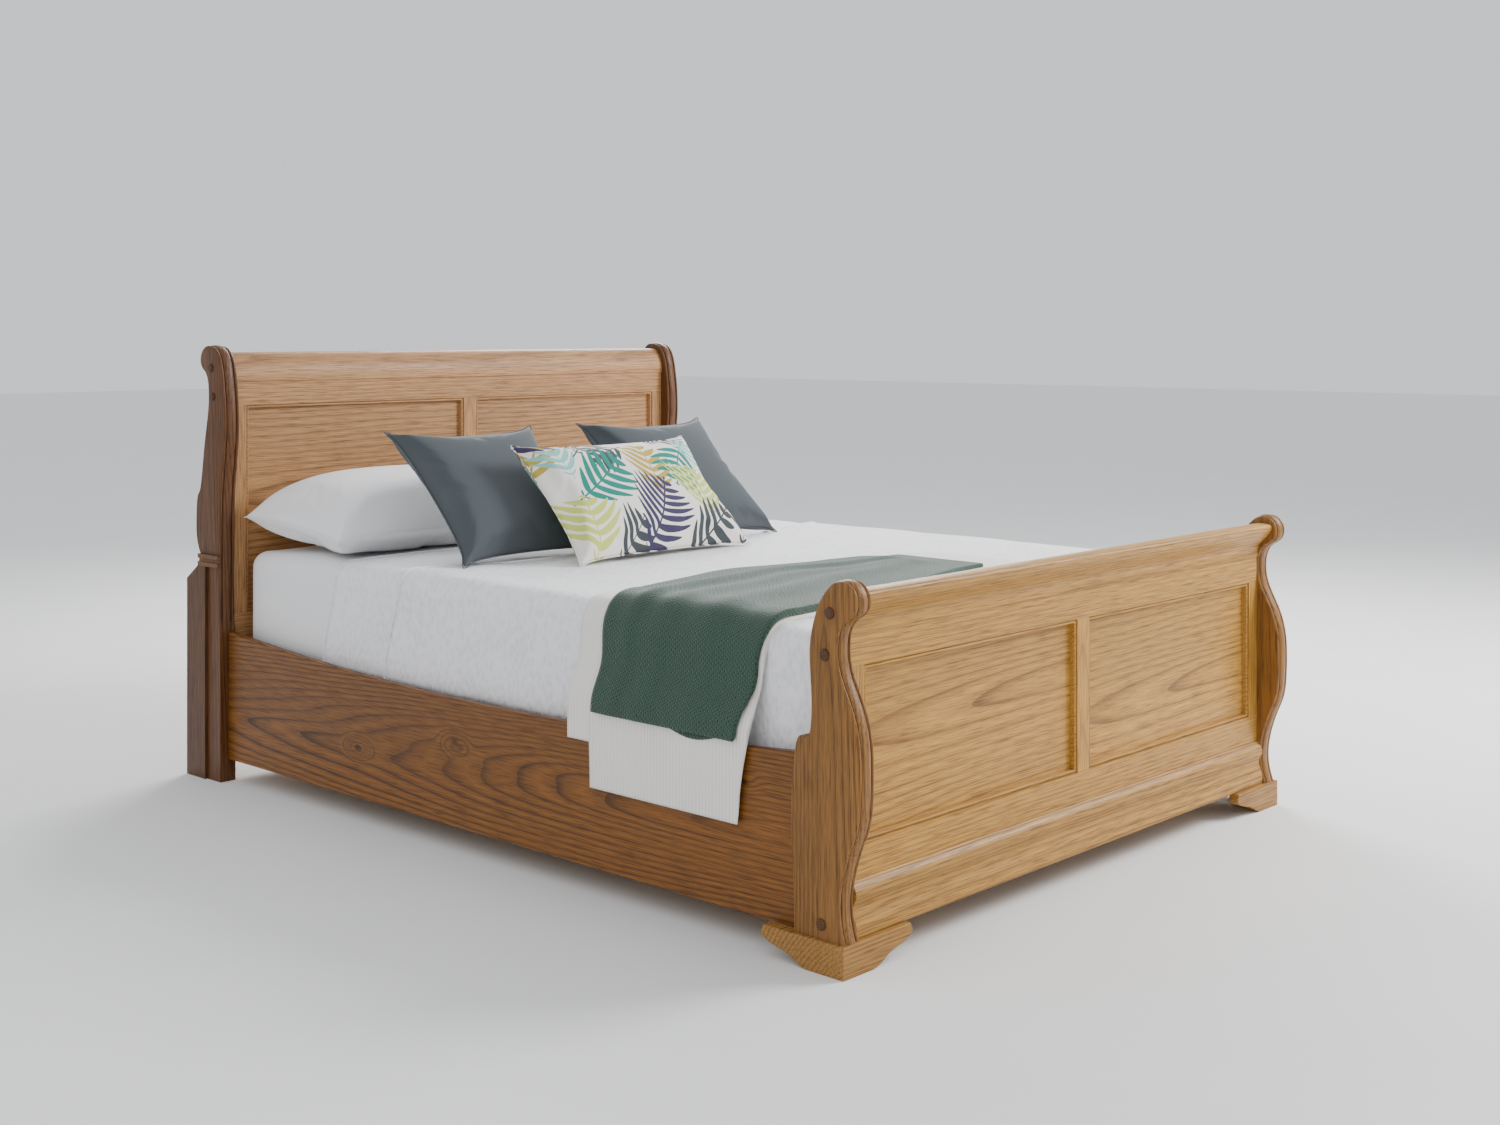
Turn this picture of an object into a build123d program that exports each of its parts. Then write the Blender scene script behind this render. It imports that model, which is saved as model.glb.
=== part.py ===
from build123d import *
import math
import os

# Sleigh bed with an end-lift (ottoman) storage base, dressed with its bedding.
# Frame: +X across the bed, +Y towards the headboard, +Z up, millimetres.
# Origin: centre of the bed on the floor.

os.makedirs("parts", exist_ok=True)

# ---------------------------------------------------------------- overall sizes
BED_WIDTH = 1664.0  # over the bracket feet
BED_LENGTH = 2288.0  # front of the foot posts to the back of the rear legs
HEADBOARD_HEIGHT = 1130.0
FOOTBOARD_HEIGHT = 717.0

# ---------------------------------------------------------------- foot posts
BRACKET_PROUD = 8.0  # the bracket feet stand this far outside the posts
POST_THICKNESS = 45.0
BRACKET_HEIGHT = 60.0
FOOT_LEG_DEPTH = 158.0  # lower part of the foot post, front to back
FOOT_WAIST_DEPTH = 117.0  # narrowest place beside the mattress
FOOT_HUMP_DEPTH = 121.0
FOOT_TOE_BACK = 36.0  # foot of the S curve, behind its bulge
FOOT_LOW_NECK = 49.0
FOOT_HIGH_NECK = 55.0
FOOT_SCROLL_RADIUS = 38.0
FOOT_SCROLL_NOSE = 7.0
LOW_NECK_Z = 126.0
BULGE_Z = 380.0

# ---------------------------------------------------------------- head posts
HEAD_LEG_DEPTH = 62.0  # straight lower part of the head post
HEAD_SCROLL_RADIUS = 35.0
HEAD_SCROLL_REACH = 64.0  # front of the straight leg to the middle of the scroll
REAR_LEG_DEPTH = 90.0
REAR_LEG_HEIGHT = 517.0
REAR_LEG_CAP_SETBACK = 53.0
REAR_LEG_SLOPE = 37.0
CAP_HEIGHT = 31.0
CAP_COVE = 5.0

# ---------------------------------------------------------------- panelled ends
FRAME_THICKNESS = 30.0
FOOT_FRAME_SETBACK = 61.0  # front of the foot posts to the face of the footboard
HEAD_FRAME_SETBACK = 13.0  # front of the head posts to the face of the headboard
STILE_WIDTH = 40.0
MULLION_WIDTH = 46.0
TOP_RAIL_HEIGHT = 62.0
FOOT_ROLL_HEIGHT = 82.0
FOOT_ROLL_DROP = 20.0  # top of the post scroll to the top of the roll
HEAD_ROLL_HEIGHT = 76.0
HEAD_ROLL_DROP = 19.0
FOOT_BOTTOM_RAIL_TOP = 226.0
HEAD_BOTTOM_RAIL_TOP = 430.0
HEAD_BOTTOM_RAIL_HEIGHT = 130.0
PANEL_THICKNESS = 12.0
PANEL_SETBACK = 14.0  # face of the frame to the face of the panel
PANEL_TONGUE = 8.0
GROOVE_CLEARANCE = 0.4
BEAD_WIDTH = 9.0
BEAD_QUIRK = 3.0
PLINTH_PROUD = 15.0
PLINTH_HEIGHT = 102.0
HEAD_BOARD_THICKNESS = 18.0

# ---------------------------------------------------------------- bracket feet
BRACKET_LENGTH = 201.0
BRACKET_THICKNESS = 24.0
BRACKET_PAD = 85.0
GLUE_BLOCK = 58.0

# ---------------------------------------------------------------- side rails
RAIL_SETBACK = 24.0  # outer face of the post to the outer face of the rail
RAIL_END_HEIGHT = 386.0
RAIL_SWEEP = 44.0  # how far the top edge dips at the middle
RAIL_EDGE_RADIUS = 3.0
LEDGE_WIDTH = 24.0
LEDGE_HEIGHT = 30.0
FLOOR_BATTEN = 20.0
FLOOR_PANEL = 9.0
FLOOR_GAP = 1.0
BEARER_WIDTH = 60.0
BEARER_HEIGHT = 38.0
GLIDE_DIAMETER = 40.0

# ---------------------------------------------------------------- lifting platform
PLATFORM_TOP = 322.0
SLAT_THICKNESS = 12.0
SLAT_WIDTH = 70.0
SLAT_COUNT = 14
BAR_WIDTH = 40.0
BAR_HEIGHT = 25.0
PLATFORM_SIDE_GAP = 10.0
PLATFORM_END_GAP = 12.0
PLATFORM_REST_GAP = 0.5
STOP_DIAMETER = 8.0
STOP_WIDTH = 440.0
STOP_HEIGHT = 110.0
STOP_BEND = 30.0
STOP_GAP = 0.1
STRAP_WIDTH = 220.0
STRAP_DROP = 26.0
STRAP_WEB = 6.0

# ---------------------------------------------------------------- lift linkage
ARM_LENGTH = 320.0
ARM_REST_ANGLE = 6.0
ARM_SWING = 96.0
PIVOT_FROM_MATTRESS_HEAD = 285.0
PIVOT_HEIGHT = 258.0
PLATE_THICKNESS = 5.0
ARM_THICKNESS = 6.0
LINK_GAP = 1.0
PIN_DIAMETER = 12.0
PIN_CLEARANCE = 0.05
PIN_HEAD = 3.0  # the rail pin beyond the arm
ARM_END_RADIUS = 16.0
ARM_ROOT_RADIUS = 22.0
ARM_TIP_HALF = 12.8  # half the width of the arm where it meets its outer end
ARM_CRANK_HALF = 14.4
ARM_CRANK_RADIUS = 63.5
ARM_CRANK_ANGLE = 23.2
STRUT_BASE_OFFSET = (248.8, -123.5)  # lower strut pivot from the arm's rail pivot
STRUT_TUBE_DIAMETER = 20.0
STRUT_ROD_DIAMETER = 8.0
STRUT_TUBE_START = 16.0  # lower stud to the bottom of the tube
STRUT_TUBE_LENGTH = 190.0
STRUT_WALL = 8.0  # closed bottom of the tube
STRUT_EYE_RADIUS = 10.0
STRUT_EYE_HALF = 5.0
STRUT_NECK_RADIUS = 5.0
STRUT_ROD_START = 28.0
STRUT_CLEARANCE = 0.05
STRUT_PIN_RUN = 7.0  # the arm's stud ends this far inside the strut's middle plane
HANGER_HALF = 45.0
PLATE_END = 40.0  # base plate beyond its pins
PLATE_ABOVE_LEDGE = 14.0

# ---------------------------------------------------------------- fastenings
BOLT_DIAMETER = 8.0
BOLT_HEAD = 13.0
BOLT_HEAD_HEIGHT = 5.0
BOLT_DEPTH = 16.0
BOLT_CLEARANCE = 0.1
CORNER_PLATE = 3.0
CORNER_PLATE_LEG = 40.0
CORNER_PLATE_RUN = 75.0
CORNER_PLATE_HEIGHT = 120.0
PEG_DIAMETER = 22.0
PEG_DEPTH = 10.0
PEG_DOME = 5.0
PEG_CLEARANCE = 0.05

# ---------------------------------------------------------------- bedding
MATTRESS_WIDTH = 1500.0
MATTRESS_LENGTH = 2000.0
MATTRESS_THICKNESS = 272.0
MATTRESS_HEAD_GAP = 18.0  # mattress to the face of the headboard
MATTRESS_EDGE_RADIUS = 28.0
COVER_THICKNESS = 4.0
COVER_GAP = 0.4
SPREAD_LENGTH = 1590.0
COVER_LENGTH = 1310.0
COVER_DROP = 262.0
RUNNER_THICKNESS = 7.0
RUNNER_FROM_FOOT = (181.0, 604.0)  # its two long edges, from the foot of the mattress
RUNNER_REACH = 320.0
RUNNER_HEM = 226.0
THROW_THICKNESS = 10.0
THROW_FROM_FOOT = (207.0, 591.0)
THROW_REACH = 165.0
THROW_HEM = 385.0
KNEE_ABOVE_RAIL = 6.0  # where the hanging blankets turn down outside the rail
PILLOW_SIZE = (690.0, 430.0, 150.0)
PILLOW_X = -390.0
PILLOW_GAP = 22.0
PILLOW_TILT = 6.0
CUSHION_SIZE = (450.0, 430.0, 110.0)
LEAF_SIZE = (590.0, 380.0, 100.0)
GREY_LEFT = (-408.0, 612.0, 44.5)  # centre across, distance from the mattress head, lean in degrees
GREY_RIGHT = (215.0, 625.0, 44.5)
LEAF = (-135.0, 817.0, 46.5)

# ---------------------------------------------------------------- derived places
HALF_WIDTH = BED_WIDTH / 2
POST_OUTER = HALF_WIDTH - BRACKET_PROUD
POST_INNER = POST_OUTER - POST_THICKNESS
FRONT = -BED_LENGTH / 2
BACK = BED_LENGTH / 2
REAR_LEG_FRONT = BACK - REAR_LEG_DEPTH
HEAD_FRONT = REAR_LEG_FRONT - HEAD_LEG_DEPTH
FOOT_FACE = FRONT + FOOT_FRAME_SETBACK
FOOT_INNER = FOOT_FACE + FRAME_THICKNESS
HEAD_FACE = HEAD_FRONT + HEAD_FRAME_SETBACK
RAIL_FOOT_END = FRONT + FOOT_LEG_DEPTH
RAIL_OUTER = POST_OUTER - RAIL_SETBACK
RAIL_BOTTOM = BRACKET_HEIGHT - 3.0
FOOT_ROLL_TOP = FOOTBOARD_HEIGHT - FOOT_ROLL_DROP
FOOT_RAIL_TOP = FOOT_ROLL_TOP - FOOT_ROLL_HEIGHT
FOOT_PANEL_TOP = FOOT_RAIL_TOP - TOP_RAIL_HEIGHT
HEAD_ROLL_TOP = HEADBOARD_HEIGHT - HEAD_ROLL_DROP
HEAD_RAIL_TOP = HEAD_ROLL_TOP - HEAD_ROLL_HEIGHT
HEAD_PANEL_TOP = HEAD_RAIL_TOP - TOP_RAIL_HEIGHT
CAP_BOTTOM = REAR_LEG_HEIGHT + REAR_LEG_SLOPE
CAP_TOP = CAP_BOTTOM + CAP_HEIGHT
FLOOR_BATTEN_TOP = RAIL_BOTTOM + FLOOR_BATTEN
FLOOR_TOP = FLOOR_BATTEN_TOP + FLOOR_PANEL
BAR_TOP = PLATFORM_TOP - SLAT_THICKNESS
BAR_BOTTOM = BAR_TOP - BAR_HEIGHT
LEDGE_TOP = BAR_BOTTOM - PLATFORM_REST_GAP
LEDGE_BOTTOM = LEDGE_TOP - LEDGE_HEIGHT
LEDGE_INNER = POST_INNER - LEDGE_WIDTH
MATTRESS_HEAD = HEAD_FACE - MATTRESS_HEAD_GAP
MATTRESS_FOOT = MATTRESS_HEAD - MATTRESS_LENGTH
MATTRESS_TOP = PLATFORM_TOP + MATTRESS_THICKNESS
MATTRESS_SIDE = MATTRESS_WIDTH / 2
PLATFORM_PIVOT = (MATTRESS_HEAD - PIVOT_FROM_MATTRESS_HEAD, PIVOT_HEIGHT)
RAIL_PIVOT = (
    PLATFORM_PIVOT[0] - ARM_LENGTH * math.cos(math.radians(ARM_REST_ANGLE)),
    PLATFORM_PIVOT[1] - ARM_LENGTH * math.sin(math.radians(ARM_REST_ANGLE)),
)
STRUT_BASE = (RAIL_PIVOT[0] + STRUT_BASE_OFFSET[0], RAIL_PIVOT[1] + STRUT_BASE_OFFSET[1])


# ---------------------------------------------------------------- helpers
def block(x_span, y_span, z_span):
    """A box between two places on each axis."""
    size = [max(s) - min(s) for s in (x_span, y_span, z_span)]
    low = [min(s) for s in (x_span, y_span, z_span)]
    return Pos(*low) * Box(*size, align=(Align.MIN, Align.MIN, Align.MIN))


def on_side(side, solid):
    """Leaves a solid made on the +X side there, or mirrors it to the -X side."""
    return solid if side > 0 else mirror(solid, Plane.YZ)


def slab(edges, x_span):
    """A closed outline of (y, z) edges, as thick as x_span."""
    face = Plane.YZ * make_face(edges)
    return Pos(min(x_span), 0, 0) * extrude(face, max(x_span) - min(x_span), dir=(1, 0, 0))


def polygon_slab(points, x_span):
    """A straight-sided outline of (y, z) points, as thick as x_span."""
    return slab(Polyline(*points, close=True), x_span)


def rod(start, end, radius):
    """A round bar from one point to another."""
    axis = Vector(*end) - Vector(*start)
    plane = Plane(origin=start, z_dir=axis)
    return plane * Cylinder(radius, axis.length, align=(Align.CENTER, Align.CENTER, Align.MIN))


def polar(origin, radius, angle):
    """The (y, z) point at a distance and an angle above +Y."""
    turn = math.radians(angle)
    return (origin[0] + radius * math.cos(turn), origin[1] + radius * math.sin(turn))


def write(name, solids):
    """Writes one node, which may hold several separate solids."""
    solids = solids if isinstance(solids, list) else [solids]
    single = [s for shape in solids for s in shape.solids()]
    export_step(single[0] if len(single) == 1 else Compound(children=single), f"parts/{name}.step")


# ---------------------------------------------------------------- post outlines
def foot_post_edges():
    """Outline of a foot post: S-curved front, scrolled top, waisted back."""
    high_neck_z = FOOTBOARD_HEIGHT - 125.0
    scroll_z = FOOTBOARD_HEIGHT - FOOT_SCROLL_RADIUS
    scroll_y = FRONT + FOOT_SCROLL_NOSE + FOOT_SCROLL_RADIUS
    toe = (FRONT + FOOT_TOE_BACK, BRACKET_HEIGHT)
    nose = (FRONT + FOOT_SCROLL_NOSE, scroll_z)
    crown = (scroll_y, FOOTBOARD_HEIGHT)
    shoulder = (FRONT + FOOT_LEG_DEPTH, RAIL_END_HEIGHT + 2.0)
    heel = (FRONT + FOOT_LEG_DEPTH, BRACKET_HEIGHT)
    bulge = (FRONT, BULGE_Z)
    lower = Spline(
        toe,
        (FRONT + FOOT_LOW_NECK, LOW_NECK_Z),
        (FRONT + 0.46 * FOOT_LOW_NECK, LOW_NECK_Z + 0.43 * (BULGE_Z - LOW_NECK_Z)),
        bulge,
        tangents=[(0.35, 1.0), (0.0, 1.0)],
    )
    upper = Spline(
        bulge,
        (FRONT + FOOT_HIGH_NECK, high_neck_z),
        (FRONT + FOOT_SCROLL_NOSE + 0.9 * FOOT_SCROLL_RADIUS, scroll_z - 1.12 * FOOT_SCROLL_RADIUS),
        nose,
        tangents=[(0.0, 1.0), (0.0, 1.0)],
    )
    scroll = RadiusArc(nose, crown, FOOT_SCROLL_RADIUS)
    back = Spline(
        crown,
        (scroll_y + FOOT_SCROLL_RADIUS, FOOTBOARD_HEIGHT - 0.55 * FOOT_SCROLL_RADIUS),
        (FRONT + FOOT_HUMP_DEPTH, FOOTBOARD_HEIGHT - 130.0),
        (FRONT + FOOT_WAIST_DEPTH, RAIL_END_HEIGHT + 119.0),
        (FRONT + 0.5 * (FOOT_WAIST_DEPTH + FOOT_LEG_DEPTH) - 6.0, RAIL_END_HEIGHT + 36.0),
        shoulder,
        tangents=[(1.0, 0.0), (0.15, -1.0)],
    )
    return [lower, upper, scroll, back, Line(shoulder, heel), Line(heel, toe)]


def head_post_edges():
    """Outline of a head post: straight leg, gentle S above it, scroll curled back."""
    top = HEADBOARD_HEIGHT
    foot_front = (HEAD_FRONT, 0.0)
    bend = (HEAD_FRONT, CAP_TOP + 105.0)
    scroll_centre = (HEAD_FRONT + HEAD_SCROLL_REACH, top - HEAD_SCROLL_RADIUS)
    crown = (scroll_centre[0], top)
    nose = (scroll_centre[0] + HEAD_SCROLL_RADIUS, scroll_centre[1])
    under = polar(scroll_centre, HEAD_SCROLL_RADIUS, -60.0)
    sole = (REAR_LEG_FRONT + 37.0, CAP_TOP)
    swell = (HEAD_FRONT + 119.0, CAP_TOP + 67.0)
    front = Spline(
        bend,
        (HEAD_FRONT - 20.5, CAP_TOP + 0.56 * (top - CAP_TOP)),
        (HEAD_FRONT - 12.0, top - 89.0),
        (HEAD_FRONT + 17.0, top - 15.0),
        crown,
        tangents=[(0.0, 1.0), (1.0, 0.0)],
    )
    scroll = ThreePointArc(crown, nose, under)
    back = Spline(
        under,
        (HEAD_FRONT + 58.0, top - 122.0),
        (HEAD_FRONT + 79.0, top - 261.0),
        (HEAD_FRONT + 102.0, CAP_TOP + 165.0),
        swell,
        tangents=[(-0.87, -0.5), (0.0, -1.0)],
    )
    tuck = TangentArc(swell, sole, tangent=(0.0, -1.0))
    step = (REAR_LEG_FRONT, CAP_TOP)
    heel = (REAR_LEG_FRONT, 0.0)
    return [
        Line(foot_front, bend),
        front,
        scroll,
        back,
        tuck,
        Line(sole, step),
        Line(step, heel),
        Line(heel, foot_front),
    ]


# ---------------------------------------------------------------- fastening places
FOOT_PEGS = [
    (FRONT + 72.0, FOOTBOARD_HEIGHT - 61.0),
    (FRONT + 84.0, FOOTBOARD_HEIGHT - 138.0),
    (FRONT + 92.0, BRACKET_HEIGHT + 28.0),
]
HEAD_PEGS = [
    (HEAD_FRONT + 47.0, HEADBOARD_HEIGHT - 59.0),
    (HEAD_FRONT + 38.0, HEADBOARD_HEIGHT - 134.0),
]
PLATE_BOTTOM = FLOOR_TOP + 30.0
PLATE_BOLT_ROWS = [PLATE_BOTTOM + 30.0, PLATE_BOTTOM + 90.0]
FOOT_PLATE_RUN = RAIL_FOOT_END - FOOT_INNER + CORNER_PLATE_RUN
RAIL_BOLT_PLACES = [RAIL_FOOT_END + 0.6 * CORNER_PLATE_RUN, HEAD_FACE - 0.6 * CORNER_PLATE_RUN]
END_BOLT_X = POST_INNER - 0.6 * CORNER_PLATE_LEG


def peg_holes(places):
    """Blind holes in the outer face of a post for its round plugs."""
    radius = PEG_DIAMETER / 2 + PEG_CLEARANCE
    return [rod((POST_OUTER - PEG_DEPTH, y, z), (POST_OUTER + 1, y, z), radius) for y, z in places]


def rail_bolts(radius, tip):
    """Round bars where the bolts enter a side rail, on the +X side."""
    start = POST_INNER - CORNER_PLATE
    return [rod((start, y, z), (tip, y, z), radius) for y in RAIL_BOLT_PLACES for z in PLATE_BOLT_ROWS]


def end_bolts(radius, depth):
    """Round bars where the bolts enter the footboard and the headboard."""
    bars = []
    for z in PLATE_BOLT_ROWS:
        foot = FOOT_INNER + CORNER_PLATE
        head = HEAD_FACE - CORNER_PLATE
        bars.append(rod((END_BOLT_X, foot, z), (END_BOLT_X, FOOT_INNER - depth, z), radius))
        bars.append(rod((END_BOLT_X, head, z), (END_BOLT_X, HEAD_FACE + depth, z), radius))
    return bars


HOLE_RADIUS = BOLT_DIAMETER / 2 + BOLT_CLEARANCE
RAIL_HOLES = rail_bolts(HOLE_RADIUS, POST_INNER + BOLT_DEPTH + 1)
END_HOLES = end_bolts(HOLE_RADIUS, BOLT_DEPTH + 1)


# ---------------------------------------------------------------- posts and legs
def foot_post(side):
    return on_side(side, slab(foot_post_edges(), (POST_INNER, POST_OUTER)) - peg_holes(FOOT_PEGS))


def head_post(side):
    return on_side(side, slab(head_post_edges(), (POST_INNER, POST_OUTER)) - peg_holes(HEAD_PEGS))


def rear_leg(side):
    """Square rear leg behind a head post, with a sloped back shoulder."""
    cap_back = BACK - REAR_LEG_CAP_SETBACK
    outline = [
        (REAR_LEG_FRONT, 0.0),
        (BACK, 0.0),
        (BACK, REAR_LEG_HEIGHT),
        (cap_back, CAP_BOTTOM),
        (REAR_LEG_FRONT, CAP_BOTTOM),
    ]
    return on_side(side, polygon_slab(outline, (POST_INNER, HALF_WIDTH)))


def rear_leg_cap(side):
    """Coved moulding that wraps the post where the rear leg ends."""
    cap = block(
        (POST_INNER, HALF_WIDTH), (HEAD_FRONT + 1, BACK - REAR_LEG_CAP_SETBACK), (CAP_BOTTOM, CAP_TOP)
    )
    cove = rod(
        (HALF_WIDTH, HEAD_FRONT, CAP_BOTTOM + CAP_HEIGHT / 2),
        (HALF_WIDTH, BACK, CAP_BOTTOM + CAP_HEIGHT / 2),
        CAP_COVE,
    )
    post = block((POST_INNER - 1, POST_OUTER), (HEAD_FRONT, REAR_LEG_FRONT), (CAP_BOTTOM - 1, CAP_TOP + 1))
    return on_side(side, cap - cove - post)


# ---------------------------------------------------------------- bracket feet
def bracket_outline():
    """Ogee bracket seen from outside: (along, up) edges from the corner."""
    toe = (BRACKET_PAD, 0.0)
    nose = (BRACKET_LENGTH, 0.8 * BRACKET_HEIGHT)
    top = (BRACKET_LENGTH - 0.1 * BRACKET_HEIGHT, BRACKET_HEIGHT)
    ogee = Spline(
        toe,
        (BRACKET_PAD + 0.44 * (BRACKET_LENGTH - BRACKET_PAD), 0.33 * BRACKET_HEIGHT),
        (BRACKET_LENGTH - 0.1 * BRACKET_HEIGHT, 0.64 * BRACKET_HEIGHT),
        nose,
        tangents=[(1.0, 0.1), (0.0, 1.0)],
    )
    return [
        Line((0.0, 0.0), toe),
        ogee,
        Line(nose, top),
        Line(top, (0.0, BRACKET_HEIGHT)),
        Line((0.0, BRACKET_HEIGHT), (0.0, 0.0)),
    ]


def bracket(side, turned):
    """One mitred wing of a bracket foot, along the side or along the front."""
    corner = FRONT + FOOT_TOE_BACK - 3.0
    wing = slab(bracket_outline(), (-BRACKET_THICKNESS, 0.0))
    mitre = Polyline(
        (0, 0),
        (-BRACKET_THICKNESS, BRACKET_THICKNESS),
        (-BRACKET_THICKNESS, BRACKET_LENGTH + 1),
        (0, BRACKET_LENGTH + 1),
        close=True,
    )
    wing = wing & extrude(make_face(mitre), BRACKET_HEIGHT)
    if turned:
        wing = mirror(wing, Plane(origin=(0, 0, 0), z_dir=(1, 1, 0)))
    return on_side(side, Pos(HALF_WIDTH, corner, 0) * wing)


def glue_block(side):
    inner = HALF_WIDTH - BRACKET_THICKNESS
    start = FRONT + FOOT_TOE_BACK - 3.0 + BRACKET_THICKNESS
    return on_side(
        side,
        block((inner - GLUE_BLOCK, inner), (start, start + GLUE_BLOCK), (0.5, RAIL_BOTTOM)),
    )


# ---------------------------------------------------------------- panelled ends
def panel_spans():
    """The left and the right panel opening across the bed."""
    edge = POST_INNER - STILE_WIDTH
    return [(-edge, -MULLION_WIDTH / 2), (MULLION_WIDTH / 2, edge)]


def panel_block(x_span, face, z_span, grow):
    """A panel with its tongue, grown by a clearance when it cuts the groove."""
    reach = PANEL_TONGUE + grow
    front = face + PANEL_SETBACK - grow
    back = face + PANEL_SETBACK + PANEL_THICKNESS + grow
    return block(
        (x_span[0] - reach, x_span[1] + reach), (front, back), (z_span[0] - reach, z_span[1] + reach)
    )


def frame_member(x_span, face, z_span, opening):
    """A rail, stile or mullion, grooved for both panels."""
    member = block(x_span, (face, face + FRAME_THICKNESS), z_span)
    for span in panel_spans():
        member = member - panel_block(span, face, opening, GROOVE_CLEARANCE)
    return member


def panel_beads(face, opening):
    """Mitred bead-and-quirk strips in the reveal round each panel."""
    strips = []
    for left, right in panel_spans():
        low, high = opening
        width = BEAD_WIDTH
        spans = [
            ((left, right), (low, low + width)),
            ((left, right), (high - width, high)),
            ((left, left + width), (low + width, high - width)),
            ((right - width, right), (low + width, high - width)),
        ]
        for x_span, z_span in spans:
            strips.append(block(x_span, (face + BEAD_QUIRK, face + PANEL_SETBACK), z_span))
    return strips


def panelled_end(name, face, opening, rail_spans):
    """Writes rails, stiles, mullion, panels and beads of one end of the bed."""
    inner = (-POST_INNER, POST_INNER)
    for part, z_span in rail_spans.items():
        rail = frame_member(inner, face, z_span, opening)
        if part == "bottom_rail":
            for side in (-1, 1):
                rail = rail - [on_side(side, hole) for hole in END_HOLES]
        write(f"{name}_{part}", rail)
    stile = (POST_INNER - STILE_WIDTH, POST_INNER)
    stiles = [on_side(side, frame_member(stile, face, opening, opening)) for side in (-1, 1)]
    write(f"{name}_stiles", stiles)
    write(f"{name}_mullion", frame_member((-MULLION_WIDTH / 2, MULLION_WIDTH / 2), face, opening, opening))
    for label, span in zip(("left", "right"), panel_spans()):
        write(f"{name}_panel_{label}", panel_block(span, face, opening, 0.0))
    write(f"{name}_panel_beads", panel_beads(face, opening))


def foot_roll():
    """Top rail of the footboard, rolled forward over a cove."""
    top = FOOT_ROLL_TOP
    low = FOOT_RAIL_TOP
    lip = (FOOT_FACE - 3.0, low)
    nose = (FRONT + 21.0, top - 13.0)
    crown = (FRONT + 46.0, top)
    back = (FOOT_INNER + 10.0, low + 0.35 * FOOT_ROLL_HEIGHT)
    front = Spline(
        lip,
        (FOOT_FACE - 5.0, low + 0.3 * FOOT_ROLL_HEIGHT),
        (FOOT_FACE - 16.0, low + 0.47 * FOOT_ROLL_HEIGHT),
        (FRONT + 29.0, top - 27.0),
        nose,
        crown,
        tangents=[(0.0, 1.0), (1.0, 0.0)],
    )
    rear = Spline(crown, (FOOT_INNER, low + 0.72 * FOOT_ROLL_HEIGHT), back, tangents=[(1.0, 0.0), (0.2, -1.0)])
    heel = (FOOT_INNER, low)
    edges = [front, rear, Line(back, heel), Line(heel, lip)]
    return slab(edges, (-POST_INNER, POST_INNER))


def head_roll():
    """Top rail of the headboard, rolled backwards."""
    top = HEAD_ROLL_TOP
    low = HEAD_RAIL_TOP
    lip = (HEAD_FACE - 3.0, low)
    crown = (HEAD_FACE + 42.0, top)
    nose = (HEAD_FACE + 67.0, top - 16.0)
    heel = (HEAD_FACE + FRAME_THICKNESS, low)
    front = Spline(
        lip,
        (HEAD_FACE + 1.0, low + 0.48 * HEAD_ROLL_HEIGHT),
        (HEAD_FACE + 17.0, low + 0.86 * HEAD_ROLL_HEIGHT),
        crown,
        tangents=[(0.0, 1.0), (1.0, 0.0)],
    )
    rear = Spline(
        crown, nose, (HEAD_FACE + 47.0, top - 46.0), heel, tangents=[(1.0, 0.0), (-0.4, -1.0)]
    )
    return slab([front, rear, Line(heel, lip)], (-POST_INNER, POST_INNER))


def plinth():
    """Moulding along the foot of the footboard: ovolo, cove and flat base."""
    top = BRACKET_HEIGHT + PLINTH_HEIGHT
    proud = FOOT_FACE - PLINTH_PROUD
    start = (FOOT_FACE, BRACKET_HEIGHT)
    base = (proud, BRACKET_HEIGHT)
    shelf = (proud, BRACKET_HEIGHT + 0.27 * PLINTH_HEIGHT)
    cove = (proud + 7.0, BRACKET_HEIGHT + 0.47 * PLINTH_HEIGHT)
    throat = (proud + 6.0, BRACKET_HEIGHT + 0.66 * PLINTH_HEIGHT)
    ovolo = (proud, BRACKET_HEIGHT + 0.87 * PLINTH_HEIGHT)
    finish = (FOOT_FACE - 4.0, top)
    edges = [
        Line(start, base),
        Line(base, shelf),
        Spline(shelf, cove, throat, ovolo, tangents=[(0.5, 1.0), (-0.4, 1.0)]),
        Spline(ovolo, finish, tangents=[(0.0, 1.0), (1.0, 0.3)]),
        Line(finish, (FOOT_FACE, top)),
        Line((FOOT_FACE, top), start),
    ]
    return slab(edges, (-POST_INNER, POST_INNER))


# ---------------------------------------------------------------- sides and storage base
def side_rail(side):
    """Deep board with a swept top edge, drilled for its bolts."""
    middle = (RAIL_FOOT_END + HEAD_FRONT) / 2
    foot_top = (RAIL_FOOT_END, RAIL_END_HEIGHT)
    head_top = (HEAD_FRONT, RAIL_END_HEIGHT)
    top_edge = Spline(foot_top, (middle, RAIL_END_HEIGHT - RAIL_SWEEP), head_top)
    edges = [
        Line((RAIL_FOOT_END, RAIL_BOTTOM), foot_top),
        top_edge,
        Line(head_top, (HEAD_FRONT, RAIL_BOTTOM)),
        Line((HEAD_FRONT, RAIL_BOTTOM), (RAIL_FOOT_END, RAIL_BOTTOM)),
    ]
    board = slab(edges, (POST_INNER, RAIL_OUTER))
    long_edges = board.edges().filter_by(GeomType.BSPLINE)
    board = fillet(long_edges, RAIL_EDGE_RADIUS)
    return on_side(side, board - RAIL_HOLES)


def side_ledge(side):
    span = (RAIL_FOOT_END, HEAD_FRONT)
    return on_side(side, block((LEDGE_INNER, POST_INNER), span, (LEDGE_BOTTOM, LEDGE_TOP)))


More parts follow.
